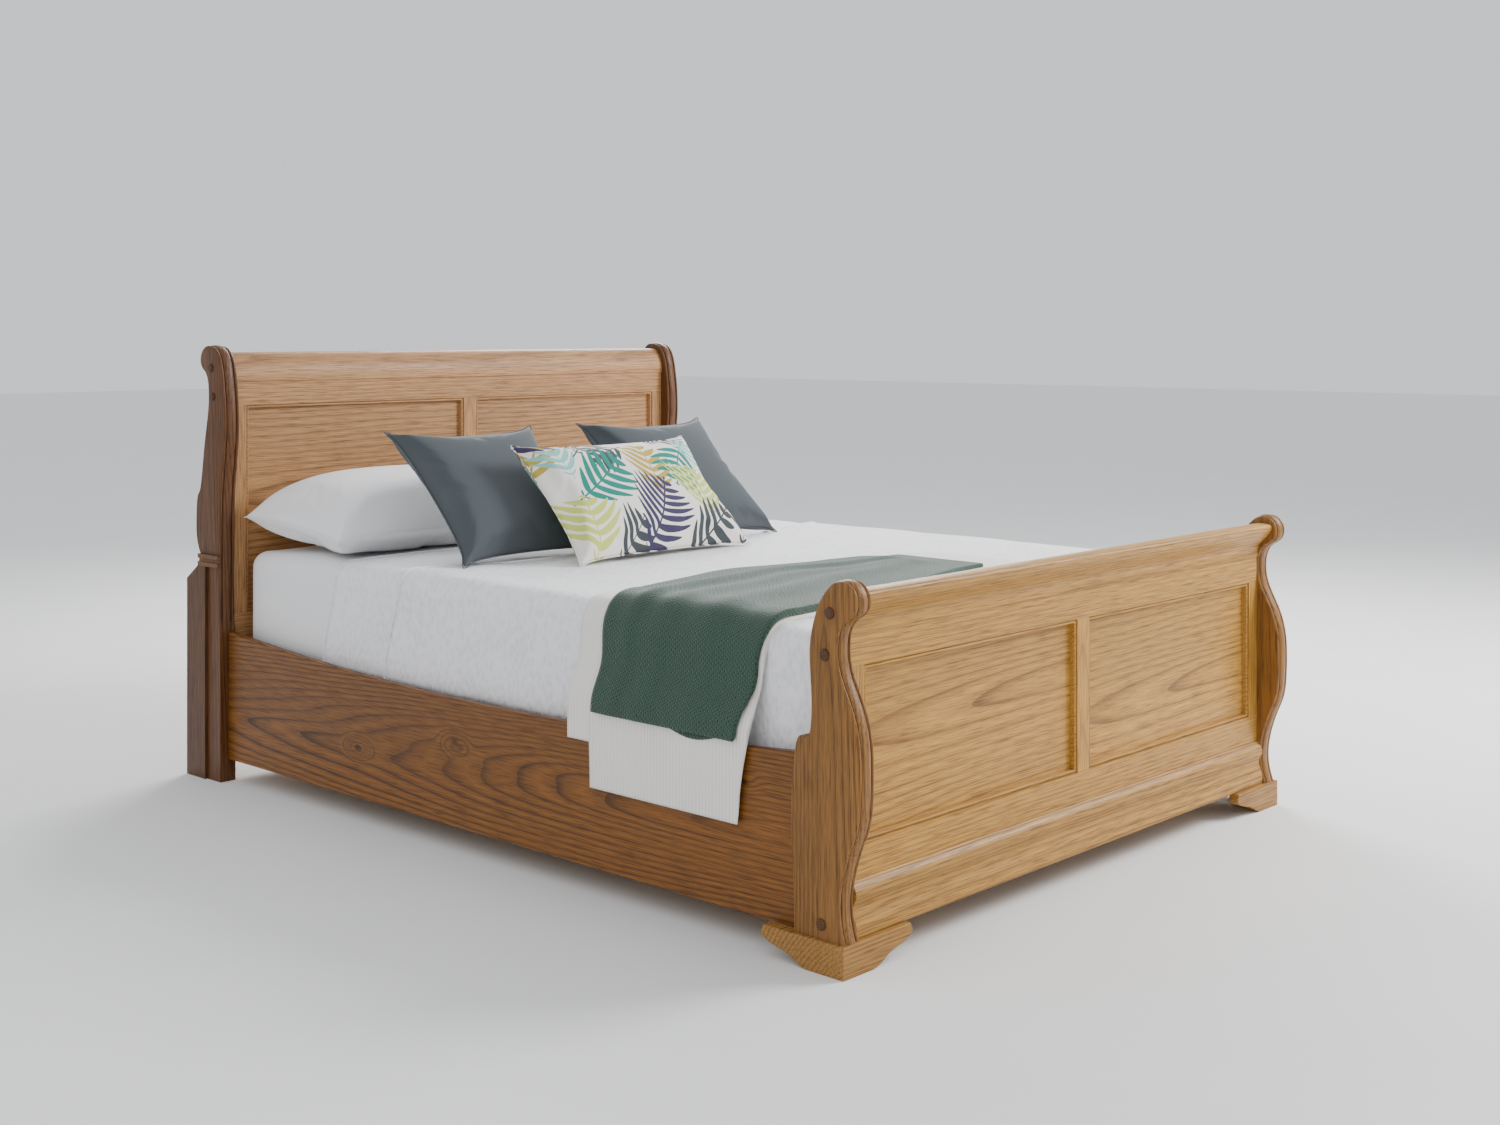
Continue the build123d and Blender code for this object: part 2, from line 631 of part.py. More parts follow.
def floor_batten(side):
    span = (RAIL_FOOT_END, HEAD_FRONT)
    return on_side(side, block((LEDGE_INNER, POST_INNER), span, (RAIL_BOTTOM, FLOOR_BATTEN_TOP)))


def floor_panel(side):
    """Half of the storage floor, on the batten and the centre bearer."""
    span = (FOOT_INNER + FLOOR_GAP, HEAD_FACE - FLOOR_GAP)
    width = (FLOOR_GAP / 2, POST_INNER - FLOOR_GAP)
    return on_side(side, block(width, span, (FLOOR_BATTEN_TOP, FLOOR_TOP)))


def centre_bearer():
    low = FLOOR_BATTEN_TOP - BEARER_HEIGHT
    return block((-BEARER_WIDTH / 2, BEARER_WIDTH / 2), (FOOT_INNER, HEAD_FACE), (low, FLOOR_BATTEN_TOP))


def bearer_glides():
    """Three round feet under the centre bearer."""
    low = FLOOR_BATTEN_TOP - BEARER_HEIGHT
    span = HEAD_FACE - FOOT_INNER
    places = [FOOT_INNER + span * share for share in (0.12, 0.5, 0.88)]
    return [rod((0, y, 0), (0, y, low), GLIDE_DIAMETER / 2) for y in places]


def corner_plate(side, end):
    """Steel angle that ties a side rail to the footboard or the headboard."""
    heights = (PLATE_BOTTOM, PLATE_BOTTOM + CORNER_PLATE_HEIGHT)
    inner = POST_INNER - CORNER_PLATE
    if end == "foot":
        run = block((inner, POST_INNER), (FOOT_INNER, FOOT_INNER + FOOT_PLATE_RUN), heights)
        leg_span = (FOOT_INNER, FOOT_INNER + CORNER_PLATE)
    else:
        run = block((inner, POST_INNER), (HEAD_FACE - CORNER_PLATE_RUN, HEAD_FACE), heights)
        leg_span = (HEAD_FACE - CORNER_PLATE, HEAD_FACE)
    leg = block((POST_INNER - CORNER_PLATE_LEG, POST_INNER), leg_span, heights)
    plate = run + leg
    return on_side(side, plate - RAIL_HOLES - END_HOLES)


def bolt(start, direction):
    """Hexagon-headed bolt whose head seats at start and points along direction."""
    plane = Plane(origin=start, z_dir=direction)
    shank = Cylinder(BOLT_DIAMETER / 2, BOLT_DEPTH + CORNER_PLATE, align=(Align.CENTER, Align.CENTER, Align.MIN))
    hexagon = extrude(RegularPolygon(BOLT_HEAD / 2, 6, major_radius=False), -BOLT_HEAD_HEIGHT)
    return plane * (shank + hexagon)


def bolts():
    """Sixteen bed bolts, eight on each side."""
    made = []
    for side in (-1, 1):
        for z in PLATE_BOLT_ROWS:
            for y in RAIL_BOLT_PLACES:
                made.append(on_side(side, bolt((POST_INNER - CORNER_PLATE, y, z), (1, 0, 0))))
            foot = (END_BOLT_X, FOOT_INNER + CORNER_PLATE, z)
            head = (END_BOLT_X, HEAD_FACE - CORNER_PLATE, z)
            made.append(on_side(side, bolt(foot, (0, -1, 0))))
            made.append(on_side(side, bolt(head, (0, 1, 0))))
    return made


def pegs():
    """Domed round plugs in the outer faces of the posts."""
    made = []
    for side in (-1, 1):
        for y, z in FOOT_PEGS + HEAD_PEGS:
            body = rod((POST_OUTER - PEG_DEPTH, y, z), (POST_OUTER + PEG_DOME, y, z), PEG_DIAMETER / 2)
            rim = body.edges().filter_by(GeomType.CIRCLE).sort_by(Axis.X)[-1]
            made.append(on_side(side, fillet(rim, PEG_DOME - 0.4)))
    return made


# ---------------------------------------------------------------- lifting platform
PLATFORM_SIDE = POST_INNER - PLATFORM_SIDE_GAP
PLATFORM_FOOT = MATTRESS_FOOT
PLATFORM_HEAD = HEAD_FACE - PLATFORM_END_GAP
BAR_SPAN_X = (-PLATFORM_SIDE + BAR_WIDTH, PLATFORM_SIDE - BAR_WIDTH)
BAR_HEIGHTS = (BAR_BOTTOM, BAR_TOP)


def platform_side_bars():
    spans = [(-PLATFORM_SIDE, -PLATFORM_SIDE + BAR_WIDTH), (PLATFORM_SIDE - BAR_WIDTH, PLATFORM_SIDE)]
    return [block(span, (PLATFORM_FOOT, PLATFORM_HEAD), BAR_HEIGHTS) for span in spans]


def platform_end_bar(end):
    """Cross bar at one end, between the side bars."""
    span = (PLATFORM_HEAD - BAR_WIDTH, PLATFORM_HEAD)
    if end == "foot":
        span = (PLATFORM_FOOT, PLATFORM_FOOT + BAR_WIDTH)
    return block(BAR_SPAN_X, span, BAR_HEIGHTS)


def platform_spine():
    span = (PLATFORM_FOOT + BAR_WIDTH, PLATFORM_HEAD - BAR_WIDTH)
    return block((-BAR_WIDTH / 2, BAR_WIDTH / 2), span, BAR_HEIGHTS)


def slats():
    """Two rows of slats screwed down on the side bars and the spine."""
    pitch = (PLATFORM_HEAD - PLATFORM_FOOT - SLAT_WIDTH) / (SLAT_COUNT - 1)
    made = []
    for row in range(SLAT_COUNT):
        start = PLATFORM_FOOT + row * pitch
        for side in (-1, 1):
            half = block((2.0, PLATFORM_SIDE - 4.0), (start, start + SLAT_WIDTH), (BAR_TOP, PLATFORM_TOP))
            made.append(on_side(side, half))
    return made


def mattress_stop():
    """Bent steel bar that keeps the mattress from sliding to the headboard."""
    y = PLATFORM_HEAD + STOP_DIAMETER / 2 + STOP_GAP
    half = STOP_WIDTH / 2
    top = PLATFORM_TOP + STOP_HEIGHT
    corners = [(-half, y, BAR_BOTTOM), (-half, y, top), (half, y, top), (half, y, BAR_BOTTOM)]
    path = FilletPolyline(*corners, radius=STOP_BEND)
    section = Plane(origin=corners[0], z_dir=(0, 0, 1)) * Circle(STOP_DIAMETER / 2)
    return sweep(section, path)


def pull_strap():
    """Loop of webbing under the foot bar that the platform is lifted by."""
    half = STRAP_WIDTH / 2
    span = (PLATFORM_FOOT + 4.0, PLATFORM_FOOT + 34.0)
    outer = block((-half, half), span, (BAR_BOTTOM - STRAP_DROP, BAR_BOTTOM))
    inner = block(
        (STRAP_WEB - half, half - STRAP_WEB),
        (span[0] - 1, span[1] + 1),
        (BAR_BOTTOM - STRAP_DROP + STRAP_WEB, BAR_BOTTOM),
    )
    return outer - inner


# ---------------------------------------------------------------- lift linkage
PLATE_X = (LEDGE_INNER - PLATE_THICKNESS, LEDGE_INNER)
ARM_X = (PLATE_X[0] - LINK_GAP - ARM_THICKNESS, PLATE_X[0] - LINK_GAP)
HANGER_X = (ARM_X[0] - LINK_GAP - PLATE_THICKNESS, ARM_X[0] - LINK_GAP)
STRUT_X = HANGER_X[0] - 5.0 - STRUT_TUBE_DIAMETER / 2
PIN_RADIUS = PIN_DIAMETER / 2
BORE_RADIUS = PIN_RADIUS + PIN_CLEARANCE


def lift_packer(side):
    """Wood packer that brings the base plate out level with the ledge."""
    heights = (FLOOR_TOP + FLOOR_GAP, LEDGE_BOTTOM)
    span = (RAIL_PIVOT[0] - PLATE_END, STRUT_BASE[0] + PLATE_END)
    return on_side(side, block((LEDGE_INNER, POST_INNER), span, heights))


def lift_base_plate(side):
    """Steel plate with the arm's pivot pin and the strut's lower stud."""
    heights = (FLOOR_TOP + FLOOR_GAP, LEDGE_BOTTOM + PLATE_ABOVE_LEDGE)
    span = (RAIL_PIVOT[0] - PLATE_END, STRUT_BASE[0] + PLATE_END)
    plate = block(PLATE_X, span, heights)
    pin = rod((PLATE_X[0], *RAIL_PIVOT), (ARM_X[0] - PIN_HEAD, *RAIL_PIVOT), PIN_RADIUS)
    stud = rod((PLATE_X[0], *STRUT_BASE), (STRUT_X - STRUT_EYE_HALF - 1.0, *STRUT_BASE), STRUT_ROD_DIAMETER / 2)
    return on_side(side, plate + pin + stud)


def lift_arm(side):
    """Flat arm: long link to the platform, short crank for the strut."""
    tip = PLATFORM_PIVOT
    crank = polar(RAIL_PIVOT, ARM_CRANK_RADIUS, ARM_REST_ANGLE + ARM_CRANK_ANGLE)
    sections = [Plane.YZ * Pos(*RAIL_PIVOT) * Circle(ARM_ROOT_RADIUS)]
    sections.append(Plane.YZ * Pos(*tip) * Circle(ARM_END_RADIUS))
    web = polygon_slab(
        [
            polar(RAIL_PIVOT, ARM_END_RADIUS, ARM_REST_ANGLE - 90),
            polar(tip, ARM_TIP_HALF, ARM_REST_ANGLE - 90),
            polar(tip, ARM_TIP_HALF, ARM_REST_ANGLE + 90),
            polar(crank, ARM_CRANK_HALF, ARM_REST_ANGLE + 60),
            polar(crank, ARM_CRANK_HALF, ARM_REST_ANGLE + 110),
            polar(RAIL_PIVOT, ARM_END_RADIUS, ARM_REST_ANGLE + 110),
        ],
        ARM_X,
    )
    arm = web
    for section in sections:
        arm = arm + Pos(ARM_X[0], 0, 0) * extrude(section, ARM_THICKNESS, dir=(1, 0, 0))
    for place in (RAIL_PIVOT, tip):
        arm = arm - rod((ARM_X[0] - 1, *place), (ARM_X[1] + 1, *place), BORE_RADIUS)
    stud = rod((ARM_X[0], *crank), (STRUT_X + STRUT_PIN_RUN, *crank), STRUT_ROD_DIAMETER / 2)
    return on_side(side, arm + stud)


def platform_hanger(side):
    """Plate under the platform's side bar, with the pin that the arm turns on."""
    y, z = PLATFORM_PIVOT
    plate = block(HANGER_X, (y - HANGER_HALF, y + HANGER_HALF), (z - ARM_END_RADIUS, BAR_BOTTOM))
    pin = rod((HANGER_X[1], y, z), (ARM_X[1] + 0.5, y, z), PIN_RADIUS)
    return on_side(side, plate + pin)


STRUT_TOP = polar(RAIL_PIVOT, ARM_CRANK_RADIUS, ARM_REST_ANGLE + ARM_CRANK_ANGLE)
STRUT_TOP_OPEN = polar(RAIL_PIVOT, ARM_CRANK_RADIUS, ARM_REST_ANGLE + ARM_CRANK_ANGLE + ARM_SWING)


def strut_reach(place):
    """Distance and angle of a strut end from the lower strut pivot."""
    dy = place[0] - STRUT_BASE[0]
    dz = place[1] - STRUT_BASE[1]
    return math.hypot(dy, dz), math.degrees(math.atan2(dz, dy))


STRUT_LENGTH, STRUT_ANGLE = strut_reach(STRUT_TOP)
STRUT_OPEN_LENGTH, STRUT_OPEN_ANGLE = strut_reach(STRUT_TOP_OPEN)


def strut_point(distance):
    return (STRUT_X, *polar(STRUT_BASE, distance, STRUT_ANGLE))


def strut_cylinder(side):
    """Gas strut cylinder with an eye on the lower stud and a bore for the rod."""
    tube_end = STRUT_TUBE_START + STRUT_TUBE_LENGTH
    bore_radius = STRUT_ROD_DIAMETER / 2 + STRUT_CLEARANCE
    tube = rod(strut_point(STRUT_TUBE_START), strut_point(tube_end), STRUT_TUBE_DIAMETER / 2)
    bore = rod(strut_point(STRUT_TUBE_START + STRUT_WALL), strut_point(tube_end + 1.0), bore_radius)
    left, right = STRUT_X - STRUT_EYE_HALF, STRUT_X + STRUT_EYE_HALF
    eye = rod((left, *STRUT_BASE), (right, *STRUT_BASE), STRUT_EYE_RADIUS)
    neck = rod(strut_point(0.6 * STRUT_EYE_RADIUS), strut_point(STRUT_TUBE_START + 2.0), STRUT_NECK_RADIUS)
    hole = rod((left - 2.0, *STRUT_BASE), (right + 2.0, *STRUT_BASE), bore_radius)
    return on_side(side, tube - bore + neck + eye - hole)


def strut_rod(side):
    """Rod of the gas strut, with a flat eye beside the arm's stud."""
    eye_radius = STRUT_EYE_RADIUS - 1.0
    shaft = rod(strut_point(STRUT_ROD_START), strut_point(STRUT_LENGTH - 6.0), STRUT_ROD_DIAMETER / 2)
    eye = rod((STRUT_X - STRUT_EYE_HALF, *STRUT_TOP), (STRUT_X + STRUT_EYE_HALF, *STRUT_TOP), eye_radius)
    return on_side(side, shaft + eye)


# ---------------------------------------------------------------- bedding
def mattress():
    body = block(
        (-MATTRESS_SIDE, MATTRESS_SIDE), (MATTRESS_FOOT, MATTRESS_HEAD), (PLATFORM_TOP, MATTRESS_TOP)
    )
    return fillet(body.edges(), MATTRESS_EDGE_RADIUS)


def fitted_cover(layer, length):
    """Cover over the mattress top and sides, tucked down inside the rails."""
    gap = COVER_GAP + layer * (COVER_THICKNESS + COVER_GAP)
    inside = gap + COVER_THICKNESS
    top = MATTRESS_TOP + gap
    low = MATTRESS_TOP - COVER_DROP
    span = (MATTRESS_FOOT - inside, MATTRESS_FOOT + length)
    outer = block((-MATTRESS_SIDE - inside, MATTRESS_SIDE + inside), span, (low, top + COVER_THICKNESS))
    hollow = block(
        (-MATTRESS_SIDE - gap, MATTRESS_SIDE + gap), (MATTRESS_FOOT - gap, span[1] + 1), (low - 1, top)
    )
    return outer - hollow


LAYER_TOP = MATTRESS_TOP + 2 * (COVER_THICKNESS + COVER_GAP)
LAYER_SIDE = MATTRESS_SIDE + 2 * (COVER_THICKNESS + COVER_GAP)


def draped(from_foot, reach, hem, lift, thickness):
    """Folded blanket laid across the bed, hanging outside the -X side rail."""
    low_y, high_y = (MATTRESS_FOOT + distance for distance in from_foot)
    top = LAYER_TOP + lift
    edge = -LAYER_SIDE - lift
    side = -(RAIL_OUTER + RAIL_EDGE_RADIUS) - lift
    knee = RAIL_END_HEIGHT + KNEE_ABOVE_RAIL
    inside = [(reach, top), (edge, top), (side, knee), (side, hem)]
    outside = [
        (side - thickness, hem),
        (side - thickness, knee),
        (edge - thickness, top + thickness),
        (reach, top + thickness),
    ]
    face = Plane.XZ * make_face(Polyline(*inside, *outside, close=True))
    return Pos(0, high_y, 0) * extrude(face, high_y - low_y, dir=(0, -1, 0))


def resting(solid, height):
    """Lowers or lifts a loose piece until it lies just above a height."""
    return Pos(0, 0, height + COVER_GAP - solid.bounding_box().min.Z) * solid


def cushion(size, centre_x, from_head, lean):
    """Plump cushion standing on its lower edge and leaning back."""
    width, height, depth = size
    centre_y = MATTRESS_HEAD - from_head
    body = Box(width, height, depth)
    body = fillet(body.edges().filter_by(Axis.Z), 0.12 * height)
    body = fillet(body.edges(), 0.3 * depth)
    return resting(Pos(centre_x, centre_y, 0) * Rot(lean, 0, 0) * body, LAYER_TOP)


def pillow():
    """Plump pillow lying against the headboard."""
    width, depth, height = PILLOW_SIZE
    body = fillet(Box(width, depth, height).edges().filter_by(Axis.Z), 0.14 * depth)
    body = fillet(body.edges(), 0.33 * height)
    y = HEAD_FACE - PILLOW_GAP - depth / 2
    return resting(Pos(PILLOW_X, y, 0) * Rot(PILLOW_TILT, 0, 0) * body, LAYER_TOP)


# ---------------------------------------------------------------- write every node
for label, side in (("left", -1), ("right", 1)):
    write(f"foot_post_{label}", foot_post(side))
    write(f"head_post_{label}", head_post(side))
    write(f"rear_leg_{label}", rear_leg(side))
    write(f"side_rail_{label}", side_rail(side))

both = (-1, 1)
write("rear_leg_caps", [rear_leg_cap(side) for side in both])
write("bracket_sides", [bracket(side, False) for side in both])
write("bracket_fronts", [bracket(side, True) for side in both])
write("foot_glue_blocks", [glue_block(side) for side in both])

foot_opening = (FOOT_BOTTOM_RAIL_TOP, FOOT_PANEL_TOP)
foot_rails = {
    "top_rail": (FOOT_PANEL_TOP, FOOT_RAIL_TOP),
    "bottom_rail": (BRACKET_HEIGHT, FOOT_BOTTOM_RAIL_TOP),
}
panelled_end("foot", FOOT_FACE, foot_opening, foot_rails)
write("foot_scroll_rail", foot_roll())
write("foot_plinth", plinth())

head_opening = (HEAD_BOTTOM_RAIL_TOP, HEAD_PANEL_TOP)
head_rails = {
    "top_rail": (HEAD_PANEL_TOP, HEAD_RAIL_TOP),
    "bottom_rail": (HEAD_BOTTOM_RAIL_TOP - HEAD_BOTTOM_RAIL_HEIGHT, HEAD_BOTTOM_RAIL_TOP),
}
panelled_end("head", HEAD_FACE, head_opening, head_rails)
write("head_scroll_rail", head_roll())
head_board = block(
    (-POST_INNER, POST_INNER),
    (HEAD_FACE, HEAD_FACE + HEAD_BOARD_THICKNESS),
    (RAIL_BOTTOM, HEAD_BOTTOM_RAIL_TOP - HEAD_BOTTOM_RAIL_HEIGHT),
)
for side in both:
    head_board = head_board - [on_side(side, hole) for hole in END_HOLES]
write("head_base_board", head_board)

write("side_ledges", [side_ledge(side) for side in both])
write("floor_battens", [floor_batten(side) for side in both])
write("storage_floor", [floor_panel(side) for side in both])
write("centre_bearer", centre_bearer())
write("bearer_glides", bearer_glides())
write("corner_plates", [corner_plate(side, end) for side in both for end in ("foot", "head")])
write("bed_bolts", bolts())
write("wooden_pegs", pegs())

write("platform_side_bars", platform_side_bars())
write("platform_end_bars", [platform_end_bar(end) for end in ("foot", "head")])
write("platform_spine", platform_spine())
write("platform_slats", slats())
write("mattress_stop", mattress_stop())
write("pull_strap", pull_strap())

write("lift_packers", [lift_packer(side) for side in both])
write("lift_base_plates", [lift_base_plate(side) for side in both])
write("lift_arms", [lift_arm(side) for side in both])
write("platform_hangers", [platform_hanger(side) for side in both])
write("strut_cylinders", [strut_cylinder(side) for side in both])
write("strut_rods", [strut_rod(side) for side in both])

write("mattress", mattress())
write("bedspread", fitted_cover(0, SPREAD_LENGTH))
write("top_cover", fitted_cover(1, COVER_LENGTH))
write("runner", draped(RUNNER_FROM_FOOT, RUNNER_REACH, RUNNER_HEM, COVER_GAP, RUNNER_THICKNESS))
throw_lift = 2 * COVER_GAP + RUNNER_THICKNESS
write("throw", draped(THROW_FROM_FOOT, THROW_REACH, THROW_HEM, throw_lift, THROW_THICKNESS))
write("pillow", pillow())
write("cushion_grey_left", cushion(CUSHION_SIZE, *GREY_LEFT))
write("cushion_grey_right", cushion(CUSHION_SIZE, *GREY_RIGHT))
write("cushion_leaf", cushion(LEAF_SIZE, *LEAF))

print("rail pivot", [round(v, 2) for v in RAIL_PIVOT])
print("platform pivot", [round(v, 2) for v in PLATFORM_PIVOT])
print("strut base", [round(v, 2) for v in STRUT_BASE])
print("strut closed and open length", round(STRUT_LENGTH, 2), round(STRUT_OPEN_LENGTH, 2))
print("strut closed and open angle", round(STRUT_ANGLE, 2), round(STRUT_OPEN_ANGLE, 2))
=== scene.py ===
"""Sleigh bed in stained oak, with its lifting platform and layered bedding, dressed around the CAD frame."""

import logging
import math
from collections.abc import Callable, Iterable, Sequence
from dataclasses import dataclass
from enum import Enum

import bmesh
import bpy
import numpy as np
from mathutils import Matrix, Vector, noise


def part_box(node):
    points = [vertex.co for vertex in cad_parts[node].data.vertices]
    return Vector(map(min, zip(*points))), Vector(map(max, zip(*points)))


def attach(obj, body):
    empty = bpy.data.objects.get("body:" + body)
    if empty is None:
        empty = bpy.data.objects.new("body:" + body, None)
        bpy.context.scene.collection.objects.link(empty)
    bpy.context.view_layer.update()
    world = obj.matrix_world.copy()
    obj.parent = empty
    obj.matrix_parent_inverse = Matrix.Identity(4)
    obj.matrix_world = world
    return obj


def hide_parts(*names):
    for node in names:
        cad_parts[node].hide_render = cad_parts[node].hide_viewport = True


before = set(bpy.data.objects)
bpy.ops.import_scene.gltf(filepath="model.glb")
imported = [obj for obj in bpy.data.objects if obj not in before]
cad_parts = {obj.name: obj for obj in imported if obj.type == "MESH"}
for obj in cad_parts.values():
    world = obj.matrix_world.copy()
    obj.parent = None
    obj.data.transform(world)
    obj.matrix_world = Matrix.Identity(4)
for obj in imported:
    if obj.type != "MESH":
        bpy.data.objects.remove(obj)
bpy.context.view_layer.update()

MM = 0.001
LOG = logging.getLogger("sleigh_bed")
WAVE_PERIOD = math.pi / 10  # one ring of a Wave texture at scale 1, in metres
BELOW_FLOOR = -1.0  # a height that everything is above, in metres


# ---------------------------------------------------------------- colour, nodes and meshes
def linear(hex_colour: str) -> tuple[float, float, float, float]:
    """Turns an sRGB hex colour into the linear one that a shader socket takes.

    Args:
        hex_colour: Six hex digits after a hash sign.

    Returns:
        Red, green, blue and an alpha of 1.
    """
    parts = [int(hex_colour[i : i + 2], 16) / 255 for i in (1, 3, 5)]
    red, green, blue = [c / 12.92 if c <= 0.04045 else ((c + 0.055) / 1.055) ** 2.4 for c in parts]
    return red, green, blue, 1.0


def add_node(
    tree: bpy.types.NodeTree, kind: str, inputs: dict | Sequence = (), **settings: object
) -> bpy.types.Node:
    """Adds a node with its settings and what goes into its sockets.

    Args:
        tree: The material's or Geometry Nodes tree.
        kind: The node's type name, which a shader node may give without "ShaderNode".
        inputs: Constants, nodes or output sockets, by socket name or number, or in the sockets' order. A node
            gives its first output.
        settings: Attributes by name. "stops" fills a colour ramp with (place, colour) pairs.

    Returns:
        The new node.
    """
    node = tree.nodes.new(kind if "Node" in kind else "ShaderNode" + kind)
    for name, value in settings.items():
        if name != "stops":
            setattr(node, name, value)
            continue
        ramp = node.color_ramp.elements
        while len(ramp) < len(value):
            ramp.new(0.5)
        for stop, (place, colour) in zip(ramp, value):
            stop.position, stop.color = place, colour
    for key, value in inputs.items() if isinstance(inputs, dict) else enumerate(inputs):
        if isinstance(value, bpy.types.Node):
            value = value.outputs[0]
        if isinstance(value, bpy.types.NodeSocket):
            tree.links.new(value, node.inputs[key])
        else:
            node.inputs[key].default_value = value
    return node


def new_tree(name: str) -> tuple[bpy.types.Material, bpy.types.NodeTree, bpy.types.NodeSocket]:
    """Starts a material.

    Args:
        name: The material's name.

    Returns:
        The material, its empty tree and the Object coordinates.
    """
    material = bpy.data.materials.new(name)
    material.use_nodes = True
    tree = material.node_tree
    tree.nodes.clear()
    return material, tree, add_node(tree, "TexCoord").outputs["Object"]


def surface(tree: bpy.types.NodeTree, inputs: dict) -> None:
    """Closes a tree with a Principled shader that takes these inputs."""
    shader = add_node(tree, "BsdfPrincipled", inputs)
    add_node(tree, "OutputMaterial", {"Surface": shader})


def mesh_piece(
    name: str, verts: Iterable, faces: Iterable, material: bpy.types.Material, sharp: float = 40.0
) -> bpy.types.Object:
    """Makes a linked mesh object at the origin.

    Args:
        name: The piece's name.
        verts: Points in metres, in the bed's frame.
        faces: Corner numbers of each face, anticlockwise from outside.
        material: Its material.
        sharp: Edges that turn by more than this many degrees stay crisp.

    Returns:
        The new object.
    """
    mesh = bpy.data.meshes.new(name)
    mesh.from_pydata([tuple(v) for v in verts], [], [tuple(f) for f in faces])
    mesh.validate()
    mesh.materials.append(material)
    mesh.shade_smooth()
    mesh.set_sharp_from_angle(angle=math.radians(sharp))
    piece = bpy.data.objects.new(name, mesh)
    bpy.context.scene.collection.objects.link(piece)
    return piece


def tidy_mesh(piece: bpy.types.Object, weld: float = 0.02 * MM) -> None:
    """Merges doubled points and turns every face outwards."""
    shape = bmesh.new()
    shape.from_mesh(piece.data)
    bmesh.ops.remove_doubles(shape, verts=shape.verts, dist=weld)
    bmesh.ops.dissolve_degenerate(shape, edges=shape.edges, dist=weld / 2)
    bmesh.ops.recalc_face_normals(shape, faces=shape.faces)
    shape.to_mesh(piece.data)
    shape.free()


def add_modifier(piece: bpy.types.Object, kind: str, **settings: object) -> bpy.types.Modifier:
    """Adds a modifier of that kind with its settings."""
    modifier = piece.modifiers.new(kind.lower(), kind)
    for name, value in settings.items():
        setattr(modifier, name, value)
    return modifier


def bake_modifiers(piece: bpy.types.Object) -> None:
    """Replaces a piece's mesh by its evaluated one and removes the modifiers."""
    bpy.context.view_layer.update()
    done = bpy.data.meshes.new_from_object(piece.evaluated_get(bpy.context.evaluated_depsgraph_get()))
    piece.modifiers.clear()
    piece.data = done


def join(main: bpy.types.Object, extra: bpy.types.Object) -> None:
    """Adds the mesh of one piece to another of the same material and drops the first."""
    shape = bmesh.new()
    shape.from_mesh(main.data)
    shape.from_mesh(extra.data)
    shape.to_mesh(main.data)
    shape.free()
    bpy.data.objects.remove(extra)


def settle(piece: bpy.types.Object, body: str, slot: str, *nodes: str) -> bpy.types.Object:
    """Lets a finished piece ride on its body, in place of CAD nodes, and logs it."""
    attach(piece, body)
    if nodes:
        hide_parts(*nodes)
    LOG.info("%s rides on %s, %d faces", piece.name, body, len(piece.data.polygons))
    return piece


def dress(node: str, material: bpy.types.Material, ease: float = 0.0) -> None:
    """Gives a CAD node its material and softens its sharp edges.

    Args:
        node: The CAD node's name.
        material: Its material.
        ease: Radius of the softened edges in metres, or 0 for none.
    """
    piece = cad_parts[node]
    piece.data.materials.clear()
    piece.data.materials.append(material)
    if ease:
        add_modifier(piece, "WELD", merge_threshold=0.02 * MM)
        add_modifier(
            piece, "BEVEL", width=ease, segments=2, limit_method="ANGLE", angle_limit=math.radians(38),
            harden_normals=True, use_clamp_overlap=True,
        )
    LOG.info("%s keeps its CAD shape in %s", node, material.name)


def smooth_path(points: Sequence, count: int) -> np.ndarray:
    """Evenly spaced points on a smooth curve through a few given ones.

    Args:
        points: The points that shape the curve.
        count: How many points to return.

    Returns:
        An array of count points.
    """
    given = np.asarray(points, float)
    chord = np.concatenate([[0.0], np.cumsum(np.linalg.norm(np.diff(given, axis=0), axis=1))])
    slope = np.gradient(given, chord, axis=0)
    fine = np.linspace(0, chord[-1], 24 * len(given))
    k = np.clip(np.searchsorted(chord, fine, "right") - 1, 0, len(given) - 2)
    span = (chord[k + 1] - chord[k])[:, None]
    t = (fine - chord[k])[:, None] / span
    curve = (
        (2 * t**3 - 3 * t**2 + 1) * given[k]
        + (t**3 - 2 * t**2 + t) * span * slope[k]
        + (3 * t**2 - 2 * t**3) * given[k + 1]
        + (t**3 - t**2) * span * slope[k + 1]
    )
    run = np.concatenate([[0.0], np.cumsum(np.linalg.norm(np.diff(curve, axis=0), axis=1))])
    even = np.linspace(0, run[-1], count)
    return np.stack([np.interp(even, run, curve[:, i]) for i in range(given.shape[1])], axis=1)


def ease_in(value: float, low: float, high: float) -> float:
    """0 below low, 1 above high, and a smooth step between them."""
    t = min(max((value - low) / (high - low), 0.0), 1.0)
    return t * t * (3 - 2 * t)


# ---------------------------------------------------------------- timber finishes
class Grain(Enum):
    """Which way the grain of a board runs."""

    ACROSS = 0
    ALONG = 1
    UPRIGHT = 2


